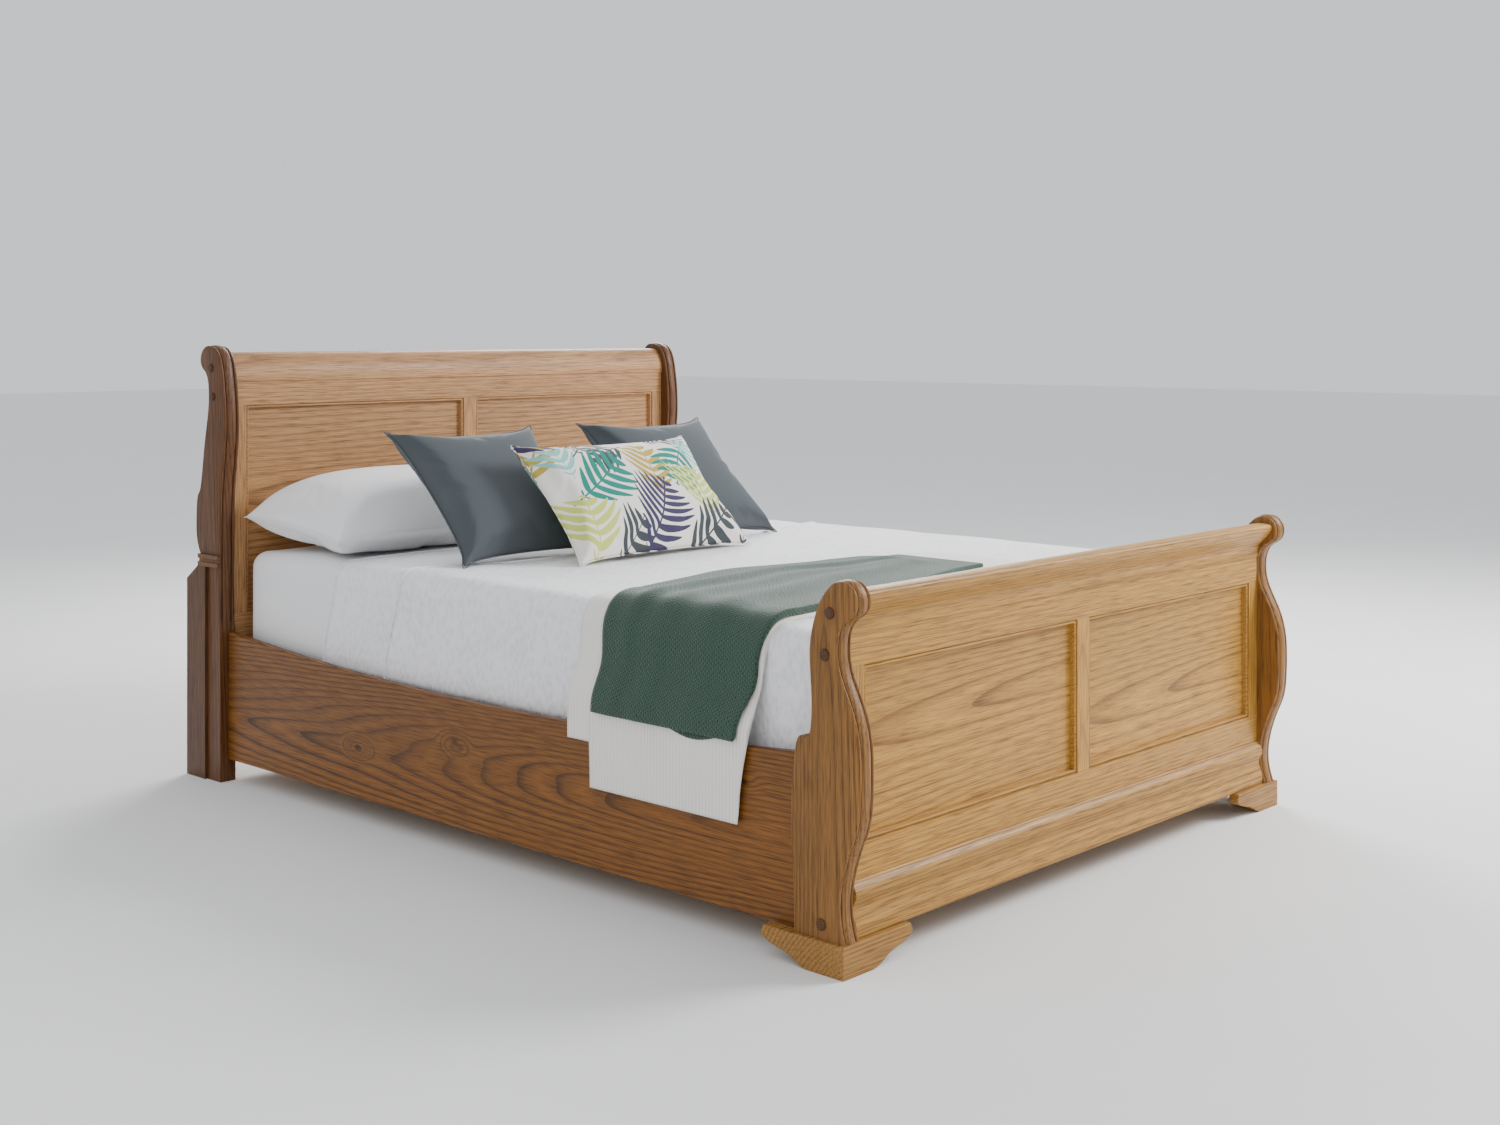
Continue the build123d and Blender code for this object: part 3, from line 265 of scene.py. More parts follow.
@dataclass(frozen=True)
class Timber:
    """A planed board: growth rings cut at a slant, open pores, and a satin lacquer over the stain.

    The rings are cylinders about the tree's heart, which lies beside the board and leans a little,
    so a flat-sawn face shows arches and an edge shows straight lines.
    """

    name: str
    grain: Grain
    heart: tuple[float, float, float] = (0.0, 0.0, 0.0)  # metres, in the bed's frame
    light: str = "#B98A55"
    dark: str = "#7F552C"
    ring: float = 9.0  # spacing of the growth rings, mm
    contrast: float = 0.85
    wander: float = 16.0  # how far the rings stray, mm
    lean: float = 0.5  # radians by which the heart leaves the board's line
    gloss: float = 0.42  # roughness of the lacquer
    knots: tuple[tuple[float, float, float], ...] = ()

    STRETCH = 0.11  # figure along the grain is this much slower than across it
    FIBRE_STRETCH = 0.03  # the same for the pores
    DRIFT = 4.5  # turns a metre in which the rings stray
    BROAD = 9.0  # the same for plain and figured areas
    CLOUD = 2.6  # the same for the uneven take-up of the stain
    PORES = 420.0  # the same for the open pores
    KNOT_REACH = 46.0  # mm, how far a knot bends the rings
    KNOT_HEART = 11.0  # mm, the dark core
    KNOT_STRETCH = 0.55  # a knot is an oval along the grain
    KNOT_PUSH = 0.045  # metres by which the rings go round a knot

    def scales(self, along: float) -> list[float]:
        """Scales of the three axes: the given one along the grain, and 1 across it."""
        return [along if axis == self.grain.value else 1.0 for axis in range(3)]

    def material(self) -> bpy.types.Material:
        """Builds the node material.

        Returns:
            The finished material.
        """
        material, tree, coords = new_tree(self.name)
        stretch = self.scales(self.STRETCH)
        lean = [0.0, 0.0, 0.0]
        lean[(self.grain.value + 1) % 3] = self.lean
        lean[(self.grain.value + 2) % 3] = 0.6 * self.lean
        from_heart = add_node(tree, "VectorMath", (coords, self.heart), operation="SUBTRACT")
        board = add_node(tree, "Mapping", {"Vector": from_heart, "Scale": stretch, "Rotation": lean})
        drift = add_node(tree, "TexNoise", {"Vector": board, "Scale": self.DRIFT, "Detail": 2.0})
        centred = add_node(tree, "VectorMath", (drift.outputs["Color"], (0.5,) * 3), operation="SUBTRACT")
        strayed = add_node(
            tree, "VectorMath", (centred, (4 * self.wander * MM,) * 3, board), operation="MULTIPLY_ADD"
        )
        rings_at: bpy.types.Node = strayed
        cores: list[bpy.types.Node] = []
        for knot in self.knots:
            flat = add_node(tree, "VectorMath", (coords, knot), operation="SUBTRACT")
            squeeze = self.scales(self.KNOT_STRETCH)
            shaped = add_node(tree, "VectorMath", (flat, squeeze), operation="MULTIPLY")
            reach = add_node(tree, "VectorMath", (shaped,), operation="LENGTH").outputs["Value"]
            bend = add_node(
                tree, "MapRange", (reach, 0.0, self.KNOT_REACH * MM, self.KNOT_PUSH, 0.0),
                interpolation_type="SMOOTHERSTEP",
            )
            push = add_node(tree, "VectorMath", {0: (1.0, 0.3, 0.3), "Scale": bend}, operation="SCALE")
            rings_at = add_node(tree, "VectorMath", (rings_at, push), operation="ADD")
            cores.append(
                add_node(
                    tree, "MapRange", (reach, 0.0, self.KNOT_HEART * MM, 0.35, 1.0),
                    interpolation_type="SMOOTHSTEP",
                )
            )
        rings = add_node(
            tree, "TexWave",
            {
                "Vector": rings_at, "Scale": WAVE_PERIOD / (self.ring * MM), "Distortion": 2.4, "Detail": 3.0,
                "Detail Scale": 0.22, "Detail Roughness": 0.55,
            },
            wave_type="RINGS", rings_direction="XYZ"[self.grain.value], wave_profile="SAW",
        )
        late, early = linear(self.dark), linear(self.light)
        middle = tuple(0.45 * a + 0.55 * b for a, b in zip(late, early))
        figure = add_node(
            tree, "ValToRGB", {"Fac": rings.outputs["Fac"]},
            stops=[(0.0, middle), (0.4, early), (0.78, middle), (0.94, late)],
        )
        plain = tuple(0.22 * a + 0.78 * b for a, b in zip(late, early))
        broad = add_node(tree, "TexNoise", {"Vector": board, "Scale": self.BROAD, "Detail": 3.0})
        strength = add_node(tree, "MapRange", (broad, 0.35, 0.65, 0.5 * self.contrast, self.contrast))
        boards = add_node(tree, "Mix", {0: strength.outputs[0], 6: plain, 7: figure}, data_type="RGBA")
        # Pores are 0.3 mm wide; they are drawn about 1.5 mm wide, because finer ones don't show.
        thin = self.scales(self.FIBRE_STRETCH)
        fibre_at = add_node(tree, "Mapping", {"Vector": coords, "Scale": thin})
        fibre = add_node(
            tree, "TexNoise", {"Vector": fibre_at, "Scale": self.PORES, "Detail": 3.0, "Roughness": 0.62}
        )
        pores = add_node(
            tree, "ValToRGB", {"Fac": fibre},
            stops=[(0.35, (0.34, 0.27, 0.21, 1)), (0.49, (0.86, 0.84, 0.81, 1)), (0.68, (1.12,) * 3 + (1,))],
        )
        grained = add_node(
            tree, "Mix", {0: 0.8, 6: boards.outputs[2], 7: pores}, data_type="RGBA", blend_type="MULTIPLY"
        ).outputs[2]
        cloud = add_node(tree, "TexNoise", {"Vector": board, "Scale": self.CLOUD, "Detail": 1.0})
        tone = add_node(tree, "MapRange", (cloud, 0.3, 0.7, 0.8, 1.14))
        shade: bpy.types.NodeSocket = tone.outputs[0]
        for core in cores:
            shade = add_node(tree, "Math", (shade, core), operation="MULTIPLY").outputs[0]
        coloured = add_node(tree, "VectorMath", {0: grained, "Scale": shade}, operation="SCALE")
        relief = add_node(tree, "Bump", {"Strength": 0.35, "Distance": 0.5 * MM, "Height": fibre})
        rough = add_node(tree, "MapRange", (fibre, 0.3, 0.7, self.gloss + 0.14, self.gloss))
        surface(
            tree,
            {
                "Base Color": coloured, "Roughness": rough, "Normal": relief, "Coat Weight": 0.06,
                "Coat Roughness": 0.28, "Specular IOR Level": 0.34,
            },
        )
        return material


# ---------------------------------------------------------------- metal, plastic and cloth finishes
@dataclass(frozen=True)
class Coating:
    """Painted or plated steel, or moulded plastic: one colour, broken by fine grit and handling marks."""

    name: str
    colour: str
    metallic: float
    roughness: float
    grit: float = 0.6  # mm, grain of the powder coat, plating or mould
    coat: float = 0.0

    def material(self) -> bpy.types.Material:
        """Builds the node material."""
        material, tree, coords = new_tree(self.name)
        grain = add_node(tree, "TexNoise", {"Vector": coords, "Scale": 1 / (self.grit * MM), "Detail": 2.0})
        marks = add_node(tree, "TexNoise", {"Vector": coords, "Scale": 25.0, "Detail": 4.0})
        base = linear(self.colour)
        worn = tuple(min(1.0, 1.25 * c + 0.01) for c in base[:3]) + (1.0,)
        tint = add_node(tree, "ValToRGB", {"Fac": marks}, stops=[(0.35, base), (0.75, worn)])
        rough = add_node(
            tree, "MapRange", (marks, 0.0, 1.0, 0.8 * self.roughness, min(1.0, 1.25 * self.roughness))
        )
        relief = add_node(tree, "Bump", {"Strength": 0.12, "Distance": 0.15 * MM, "Height": grain})
        surface(
            tree,
            {
                "Base Color": tint, "Metallic": self.metallic, "Roughness": rough, "Normal": relief,
                "Coat Weight": self.coat, "Coat Roughness": 0.15,
            },
        )
        return material


class Weave(Enum):
    """How a cloth is made, which sets its relief."""

    PERCALE = "smooth plain weave"
    MATELASSE = "puckered double cloth"
    RIB = "fine cords down the cloth"
    KNIT = "rows of small open loops"
    LINEN = "uneven slubbed threads"


@dataclass(frozen=True)
class Cloth:
    """Cotton, linen or knitted cloth, with the relief of its weave, painted shade in its hollows and a soft
    sheen.
    """

    name: str
    colour: str
    # colour of the weave's hollows, which is painted shade
    shade: str
    weave: Weave
    pitch: float = 1.0  # mm between threads, ribs, loops or puckers, as coarse as they need to show
    depth: float = 0.6  # mm of relief
    sheen: float = 0.25

    def relief(self, tree: bpy.types.NodeTree, coords: bpy.types.NodeSocket) -> bpy.types.NodeSocket:
        """Adds the height pattern of the weave.

        Args:
            tree: The material's tree.
            coords: Object coordinates.

        Returns:
            The height's socket, from 0 to 1.
        """
        cell = 1 / (self.pitch * MM)
        wave = WAVE_PERIOD / (self.pitch * MM)
        if self.weave is Weave.MATELASSE:
            wobble = add_node(tree, "TexNoise", {"Vector": coords, "Scale": 0.5 * cell})
            strayed = add_node(
                tree, "VectorMath", (wobble.outputs["Color"], (0.6 * self.pitch * MM,) * 3, coords),
                operation="MULTIPLY_ADD",
            )
            wide = add_node(tree, "VectorMath", (strayed, (0.55, 1.0, 0.55)), operation="MULTIPLY")
            return add_node(
                tree, "TexVoronoi", {"Vector": wide, "Scale": cell, "Smoothness": 0.6}, feature="SMOOTH_F1"
            ).outputs["Distance"]
        if self.weave is Weave.RIB:
            return add_node(
                tree, "TexWave",
                {"Vector": coords, "Scale": wave, "Distortion": 0.6, "Detail": 1.0, "Detail Scale": 0.02},
                wave_type="BANDS", bands_direction="Y",
            ).outputs["Fac"]
        if self.weave is Weave.KNIT:
            # The cloth crosses the top and hangs down the side, so across plus height runs along it.
            pull = add_node(tree, "TexNoise", {"Vector": coords, "Scale": 0.35 * cell, "Detail": 2.0})
            pulled = add_node(
                tree, "VectorMath", (pull.outputs["Color"], (1.3 * self.pitch * MM,) * 3, coords),
                operation="MULTIPLY_ADD",
            )
            axes = add_node(tree, "SeparateXYZ", (pulled,)).outputs
            along = add_node(tree, "Math", (axes[0], axes[2]), operation="ADD")
            turns = 2 * math.pi / (self.pitch * MM)
            rows, loops = (
                add_node(
                    tree, "Math", (add_node(tree, "Math", (run, turns), operation="MULTIPLY"),),
                    operation="SINE",
                )
                for run in (along, axes[1])
            )
            dots = add_node(tree, "Math", (rows, loops), operation="MULTIPLY")
            return add_node(tree, "MapRange", (dots, -0.9, -0.1), interpolation_type="SMOOTHSTEP").outputs[0]
        stretch = (1.0, 0.25, 1.0) if self.weave is Weave.LINEN else (1.0, 0.8, 1.0)
        warp = add_node(tree, "VectorMath", (coords, stretch), operation="MULTIPLY")
        slub = add_node(tree, "TexNoise", {"Vector": warp, "Scale": cell, "Detail": 2.0})
        weft = add_node(tree, "VectorMath", (coords, (stretch[1], 1.0, 1.0)), operation="MULTIPLY")
        cross = add_node(tree, "TexNoise", {"Vector": weft, "Scale": cell, "Detail": 2.0})
        return add_node(tree, "Math", (slub, cross), operation="ADD").outputs[0]

    def material(self) -> bpy.types.Material:
        """Builds the node material."""
        material, tree, coords = new_tree(self.name)
        height = self.relief(tree, coords)
        stain = add_node(tree, "TexNoise", {"Vector": coords, "Scale": 9.0, "Detail": 4.0})
        faint = add_node(tree, "Math", (stain, 0.45, 0.28), operation="MULTIPLY_ADD")
        mixed = add_node(tree, "Math", (height, 0.55, faint), operation="MULTIPLY_ADD")
        # Low parts of the relief take the shade colour, as painted shade in the weave's hollows; stain adds
        # uneven tone.
        colour = add_node(
            tree, "ValToRGB", {"Fac": mixed}, stops=[(0.35, linear(self.shade)), (0.85, linear(self.colour))]
        )
        bump = add_node(tree, "Bump", {"Strength": 0.8, "Distance": self.depth * MM, "Height": height})
        surface(
            tree,
            {
                "Base Color": colour, "Roughness": 0.92, "Normal": bump, "Specular IOR Level": 0.25,
                "Sheen Weight": self.sheen, "Sheen Roughness": 0.4,
            },
        )
        return material


@dataclass(frozen=True)
class Frond:
    """One printed palm frond: where its stalk starts, how it turns, how long it is, and its ink."""

    start: tuple[float, float]  # metres from the cushion's middle, across and up
    turn: float  # degrees
    length: float  # metres
    ink: str
    leaflets: float = 8.0
    spread: float = 0.45  # widest reach of the leaflets, as a share of the length


# How a frond's ink is worked out from a place along its stalk and to the side of it, both as shares of its
# length: the result's name, the operation, and its terms. A leaflet leaves the stalk at "root" and sweeps
# forwards; leaflets are cut out by a cosine along the root, and "gap" narrows them towards both ends.
FROND_STEPS = (
    ("slant", "MULTIPLY", "along", 0.16),
    ("bow", "MULTIPLY", "along", "slant"),
    ("off_stalk", "SUBTRACT", "side", "bow"),
    ("reach", "ABSOLUTE", "off_stalk"),
    ("sweep", "MULTIPLY_ADD", "reach", 0.9, 0.42),
    ("swept", "MULTIPLY", "reach", "sweep"),
    ("root", "SUBTRACT", "along", "swept"),
    ("past_base", "GREATER_THAN", "root", 0.02),
    ("before_tip", "LESS_THAN", "root", 0.98),
    ("inside", "MULTIPLY", "past_base", "before_tip"),
    ("ahead", "MAXIMUM", "root", 0.0),
    ("eased", "POWER", "ahead", 0.75),
    ("half_turn", "MULTIPLY", "eased", math.pi),
    ("arch", "SINE", "half_turn"),
    ("tall", "MAXIMUM", "arch", 0.04),
    ("limit", "MULTIPLY", "tall", "spread"),
    ("share", "DIVIDE", "reach", "limit"),
    ("passed", "MULTIPLY", "root", "leaflets"),
    ("turns", "MULTIPLY", "passed", 2 * math.pi),
    ("comb", "COSINE", "turns"),
    ("off_belly", "SUBTRACT", "share", 0.42),
    ("squared", "MULTIPLY", "off_belly", "off_belly"),
    ("gap", "MULTIPLY_ADD", "squared", 4.7, -0.62),
    ("on_leaflet", "GREATER_THAN", "comb", "gap"),
    ("leaf", "MULTIPLY", "on_leaflet", "inside"),
    ("in_reach", "LESS_THAN", "share", 1.0),
    ("blades", "MULTIPLY", "leaf", "in_reach"),
    ("by_stalk", "LESS_THAN", "reach", 0.011),
    ("past_foot", "GREATER_THAN", "along", -0.12),
    ("before_end", "LESS_THAN", "along", 1.0),
    ("lower_stalk", "MULTIPLY", "by_stalk", "past_foot"),
    ("stalk", "MULTIPLY", "lower_stalk", "before_end"),
    ("ink", "MAXIMUM", "blades", "stalk"),
)


@dataclass(frozen=True)
class LeafPrint:
    """Cotton canvas screen-printed with palm fronds, each in one flat ink, on an off-white ground."""

    name: str
    centre: tuple[float, float, float]
    lean: float
    fronds: tuple[Frond, ...]
    ground: str = "#E9E6DE"

    def frond_group(self) -> bpy.types.NodeTree:
        """Builds the group that says where one frond's ink lies.

        Returns:
            A group that takes the stalk's coordinates and gives a mask of 0 or 1.
        """
        group = bpy.data.node_groups.new("palm_frond", "ShaderNodeTree")
        for socket, in_out, kind in (
            ("Place", "INPUT", "Vector"), ("Leaflets", "INPUT", "Float"), ("Spread", "INPUT", "Float"),
            ("Ink", "OUTPUT", "Float"),
        ):
            group.interface.new_socket(socket, in_out=in_out, socket_type="NodeSocket" + kind)
        given = add_node(group, "NodeGroupInput").outputs
        axes = add_node(group, "SeparateXYZ", given[:1]).outputs
        found = {"along": axes[0], "side": axes[1], "leaflets": given[1], "spread": given[2]}
        for name, operation, *terms in FROND_STEPS:
            found[name] = add_node(group, "Math", [found.get(t, t) for t in terms], operation=operation)
        add_node(group, "NodeGroupOutput", (found["ink"],))
        return group

    def material(self) -> bpy.types.Material:
        """Builds the node material."""
        material, tree, coords = new_tree(self.name)
        centred = add_node(tree, "VectorMath", (coords, self.centre), operation="SUBTRACT")
        face = add_node(
            tree, "Mapping", {"Vector": centred, "Rotation": (-math.radians(self.lean), 0.0, 0.0)}
        )
        group = self.frond_group()
        colour: bpy.types.NodeSocket | tuple = linear(self.ground)
        for frond in self.fronds:
            local = add_node(
                tree, "Mapping",
                {
                    "Vector": face, "Location": (*frond.start, 0.0),
                    "Rotation": (0.0, 0.0, math.radians(frond.turn)), "Scale": (frond.length,) * 3,
                },
                vector_type="TEXTURE",
            )
            mask = add_node(tree, "Group", (local, frond.leaflets, frond.spread), node_tree=group)
            colour = add_node(
                tree, "Mix", {0: mask, 6: colour, 7: linear(frond.ink)}, data_type="RGBA"
            ).outputs[2]
        threads = add_node(tree, "TexNoise", {"Vector": coords, "Scale": 900.0, "Detail": 1.0})
        bump = add_node(tree, "Bump", {"Strength": 0.3, "Distance": 0.3 * MM, "Height": threads})
        surface(
            tree,
            {
                "Base Color": colour, "Roughness": 0.9, "Normal": bump, "Specular IOR Level": 0.25,
                "Sheen Weight": 0.15, "Sheen Roughness": 0.4,
            },
        )
        return material


# ---------------------------------------------------------------- Geometry Nodes for what follows or repeats
def node_tool(name: str, *sizes: str) -> tuple[bpy.types.NodeTree, bpy.types.Node]:
    """Starts a Geometry Nodes tree with named sizes.

    Args:
        name: The tree's name.
        sizes: Names of its size inputs, in metres.

    Returns:
        The tree and its input node, whose first output is the geometry.
    """
    tree = bpy.data.node_groups.new(name, "GeometryNodeTree")
    tree.interface.new_socket("Geometry", in_out="INPUT", socket_type="NodeSocketGeometry")
    for size in sizes:
        tree.interface.new_socket(size, in_out="INPUT", socket_type="NodeSocketFloat")
    tree.interface.new_socket("Geometry", in_out="OUTPUT", socket_type="NodeSocketGeometry")
    return tree, add_node(tree, "NodeGroupInput")


def close_tool(tree: bpy.types.NodeTree, shape: bpy.types.Node, material: bpy.types.Material) -> None:
    """Ends a tree in Realize Instances, smooth shading and Set Material."""
    real = add_node(tree, "GeometryNodeRealizeInstances", (shape,))
    smooth = add_node(tree, "GeometryNodeSetShadeSmooth", (real,))
    done = add_node(tree, "GeometryNodeSetMaterial", {"Geometry": smooth, "Material": material})
    add_node(tree, "NodeGroupOutput", (done,))


def run_tool(
    name: str, points: Iterable, closed: bool, tree: bpy.types.NodeTree, sizes: dict
) -> bpy.types.Object:
    """Runs a Geometry Nodes tree on a line of points and keeps the plain mesh.

    Args:
        name: The new piece's name.
        points: The points, joined in order.
        closed: Whether the line ends where it starts.
        tree: The tree to run.
        sizes: Values by input name, in metres.

    Returns:
        The piece, a plain mesh without a modifier.
    """
    places = [tuple(p) for p in points]
    edges = [(i, i + 1) for i in range(len(places) - 1)] + ([(len(places) - 1, 0)] if closed else [])
    mesh = bpy.data.meshes.new(name)
    mesh.from_pydata(places, edges, [])
    piece = bpy.data.objects.new(name, mesh)
    bpy.context.scene.collection.objects.link(piece)
    modifier = add_modifier(piece, "NODES", node_group=tree)
    for item in tree.interface.items_tree:
        if item.name in sizes:
            modifier[item.identifier] = sizes[item.name]
    bake_modifiers(piece)
    return piece


def welt_tool(material: bpy.types.Material) -> bpy.types.NodeTree:
    """Builds the tree that runs a round welt along a line."""
    tree, given = node_tool("round_welt", "Radius")
    line = add_node(tree, "GeometryNodeMeshToCurve", (given,))
    ring = add_node(tree, "GeometryNodeCurvePrimitiveCircle", {"Resolution": 8, "Radius": given.outputs[1]})
    tube = add_node(tree, "GeometryNodeCurveToMesh", {"Curve": line, "Profile Curve": ring})
    close_tool(tree, tube, material)
    return tree


def stitch_tool(material: bpy.types.Material) -> bpy.types.NodeTree:
    """Builds the tree that sews a row of short stitches along a line."""
    tree, given = node_tool("stitch_row", "Pitch", "Thread")
    line = add_node(tree, "GeometryNodeMeshToCurve", (given,))
    spaced = add_node(
        tree, "GeometryNodeResampleCurve", {"Curve": line, "Length": given.outputs[1]}, mode="LENGTH"
    )
    size = add_node(tree, "CombineXYZ", (given.outputs[2], given.outputs[2], given.outputs[1]))
    long_size = add_node(tree, "VectorMath", (size, (1.0, 1.0, 0.36)), operation="MULTIPLY")
    bead = add_node(tree, "GeometryNodeMeshIcoSphere", {"Radius": 1.0, "Subdivisions": 1})
    tangent = add_node(tree, "GeometryNodeInputTangent")
    turn = add_node(tree, "FunctionNodeAlignRotationToVector", {"Vector": tangent}, axis="Z")
    row = add_node(
        tree, "GeometryNodeInstanceOnPoints",
        {"Points": spaced, "Instance": bead, "Rotation": turn, "Scale": long_size},
    )
    close_tool(tree, row, material)
    return tree


def screw_tool(material: bpy.types.Material) -> bpy.types.NodeTree:
    """Builds the tree that sets a domed screw head on every point."""
    tree, given = node_tool("slat_screws", "Radius", "Height")
    head = add_node(
        tree, "GeometryNodeMeshCone", {"Vertices": 12, "Radius Top": 0.55, "Radius Bottom": 1.0, "Depth": 1.0}
    ).outputs["Mesh"]
    size = add_node(tree, "CombineXYZ", (given.outputs[1], given.outputs[1], given.outputs[2]))
    row = add_node(tree, "GeometryNodeInstanceOnPoints", {"Points": given, "Instance": head, "Scale": size})
    close_tool(tree, row, material)
    return tree


# ---------------------------------------------------------------- posts with a routed edge
@dataclass
class RoutedPosts:
    """The four scrolled posts: their CAD outlines with a moulding routed along the front edge."""

    step: float = 5 * MM  # spacing of the sections along the outline
    corner: float = math.radians(38)  # a turn of the outline that counts as a corner
    arris: float = 0.9 * MM
    fade: tuple[float, float] = (20 * MM, 75 * MM)  # past the crown, where the moulding runs out
    run_in: float = 40 * MM  # height over which it starts
    # Distance from the outer face and depth below the crown, mm: bead, quirk, crown band, deep quirk, bead.
    moulding: tuple[tuple[float, float], ...] = (
        (0.0, 5.0), (0.7, 3.4), (2.0, 2.2), (3.8, 1.7), (5.6, 2.2), (6.9, 3.4), (7.5, 5.6), (8.9, 5.8),
        (9.6, 3.6), (12.5, 1.6), (17.0, 0.4), (22.5, 0.0), (28.0, 0.4), (31.5, 1.6), (34.0, 3.6), (34.6, 7.4),
        (36.2, 7.6), (37.0, 5.0), (38.3, 3.4), (40.3, 2.7), (42.4, 3.2), (44.0, 4.6), (45.0, 6.0),
    )

    def outline(self, node: str, plane: float) -> np.ndarray:
        """Reads the outline of a post's flat face.

        Args:
            node: The CAD node.
            plane: The face's place across the bed.

        Returns:
            Its (y, z) points in order, from the front bottom corner up the front.
        """
        shape = bmesh.new()
        shape.from_mesh(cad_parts[node].data)
        bmesh.ops.remove_doubles(shape, verts=shape.verts, dist=0.01 * MM)
        flat = {f for f in shape.faces if all(abs(v.co.x - plane) < 0.05 * MM for v in f.verts)}
        after: dict[int, list[int]] = {}
        for edge in shape.edges:
            if sum(f in flat for f in edge.link_faces) == 1 and all(
                abs(v.co.x - plane) < 0.05 * MM for v in edge.verts
            ):
                first, second = (v.index for v in edge.verts)
                after.setdefault(first, []).append(second)
                after.setdefault(second, []).append(first)
        shape.verts.ensure_lookup_table()
        start = min(after, key=lambda i: shape.verts[i].co.z * 3 + shape.verts[i].co.y)
        upward = max(after[start], key=lambda i: shape.verts[i].co.z)
        walk = [start, upward]
        while True:
            onward = [i for i in after[walk[-1]] if i != walk[-2]][0]
            if onward == start:
                break
            walk.append(onward)
        points = np.array([(shape.verts[i].co.y, shape.verts[i].co.z) for i in walk])
        shape.free()
        return points

    def sections(self, outline: np.ndarray) -> tuple[np.ndarray, np.ndarray, int]:
        """Places sections along an outline: close ones on the curved run, single ones at plain corners.

        Args:
            outline: The outline's points in order, starting at the front bottom corner.

        Returns:
            The sections' places, their inward normals, and how many lie on the curved run.
        """
        count = len(outline)
        heading = [outline[(i + 1) % count] - outline[i] for i in range(count)]
        angle = [math.atan2(h[1], h[0]) for h in heading]
        turn = [abs((angle[i] - angle[i - 1] + math.pi) % (2 * math.pi) - math.pi) for i in range(count)]
        corners = [i for i in range(count) if turn[i] > self.corner]
        end = corners[1] if corners[0] == 0 else corners[0]
        run = outline[: end + 1]
        length = np.linalg.norm(np.diff(run, axis=0), axis=1).sum()
        curve = smooth_path(run, int(length / self.step))
        tangent = np.gradient(curve, axis=0)
        tangent /= np.linalg.norm(tangent, axis=1)[:, None]
        inward = np.stack([tangent[:, 1], -tangent[:, 0]], axis=1)
        rest = outline[[i for i in corners if i > end]]
        return np.vstack([curve, rest]), np.vstack([inward, np.zeros_like(rest)]), len(curve)

    def build(self, node: str, side: int, start: float, finish: Timber) -> None:
        """Builds one post and settles it in place of its CAD node.

        Args:
            node: The CAD node.
            side: -1 or 1, the side of the bed.
            start: Height above which the moulding runs.
            finish: The post's timber.
        """
        low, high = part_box(node)
        inner, outer = (low.x, high.x) if side > 0 else (high.x, low.x)
        places, inward, curved = self.sections(self.outline(node, inner))
        top = int(np.argmax(places[:curved, 1]))
        reach = np.concatenate([[0.0], np.cumsum(np.linalg.norm(np.diff(places[:curved], axis=0), axis=1))])
        verts, rows = [], []
        for i, place in enumerate(places):
            share = 0.0
            if i < curved:
                past_crown = ease_in(reach[i] - reach[top], *self.fade)
                share = (1 - past_crown) * ease_in(place[1], start, start + self.run_in)
            row = []
            for across, depth in self.moulding:
                edge = min(across, self.moulding[-1][0] - across) * MM
                plain = max(0.0, self.arris - edge)
                inset = share * depth * MM + (1 - share) * (plain if i < curved else 0.0)
                y, z = place + inward[i] * inset
                row.append(len(verts))
                verts.append((outer + (inner - outer) * across / self.moulding[-1][0], y, z))
            rows.append(row)
        faces = []
        for this, following in zip(rows, rows[1:] + rows[:1]):
            for j in range(len(this) - 1):
                faces.append((this[j], this[j + 1], following[j + 1], following[j]))
        faces.append([row[0] for row in rows])
        faces.append([row[-1] for row in rows][::-1])
        piece = mesh_piece(node + "_routed", verts, faces, finish.material())
        tidy_mesh(piece)
        piece.data.set_sharp_from_angle(angle=math.radians(32))
        settle(piece, "frame", "oak_upright", node)

    def make(self) -> None:
        """Builds the two foot posts and the two head posts."""
        rail_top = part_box("side_rail_left")[1].z
        # Oak cut along the log, for straight upright lines. The foot posts are warm brown, and the head posts
        # so deep that their figure nearly goes. Both browns are partly stain and partly painted shade.
        kinds = (
            ("foot", 70 * MM, 60 * MM, BELOW_FLOOR, "#9B6B30", "#573713"),
            ("head", 60 * MM, 70 * MM, rail_top, "#6C431F", "#3B220C"),
        )
        for side, name in ((-1, "left"), (1, "right")):
            for end, out, behind, start, light, dark in kinds:
                node = f"{end}_post_{name}"
                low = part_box(node)[0]
                heart = (low.x + side * out, low.y + behind, 0.0)
                oak = Timber("oak_" + node, Grain.UPRIGHT, heart, light, dark, contrast=0.8, lean=0.2)
                self.build(node, side, start, oak)


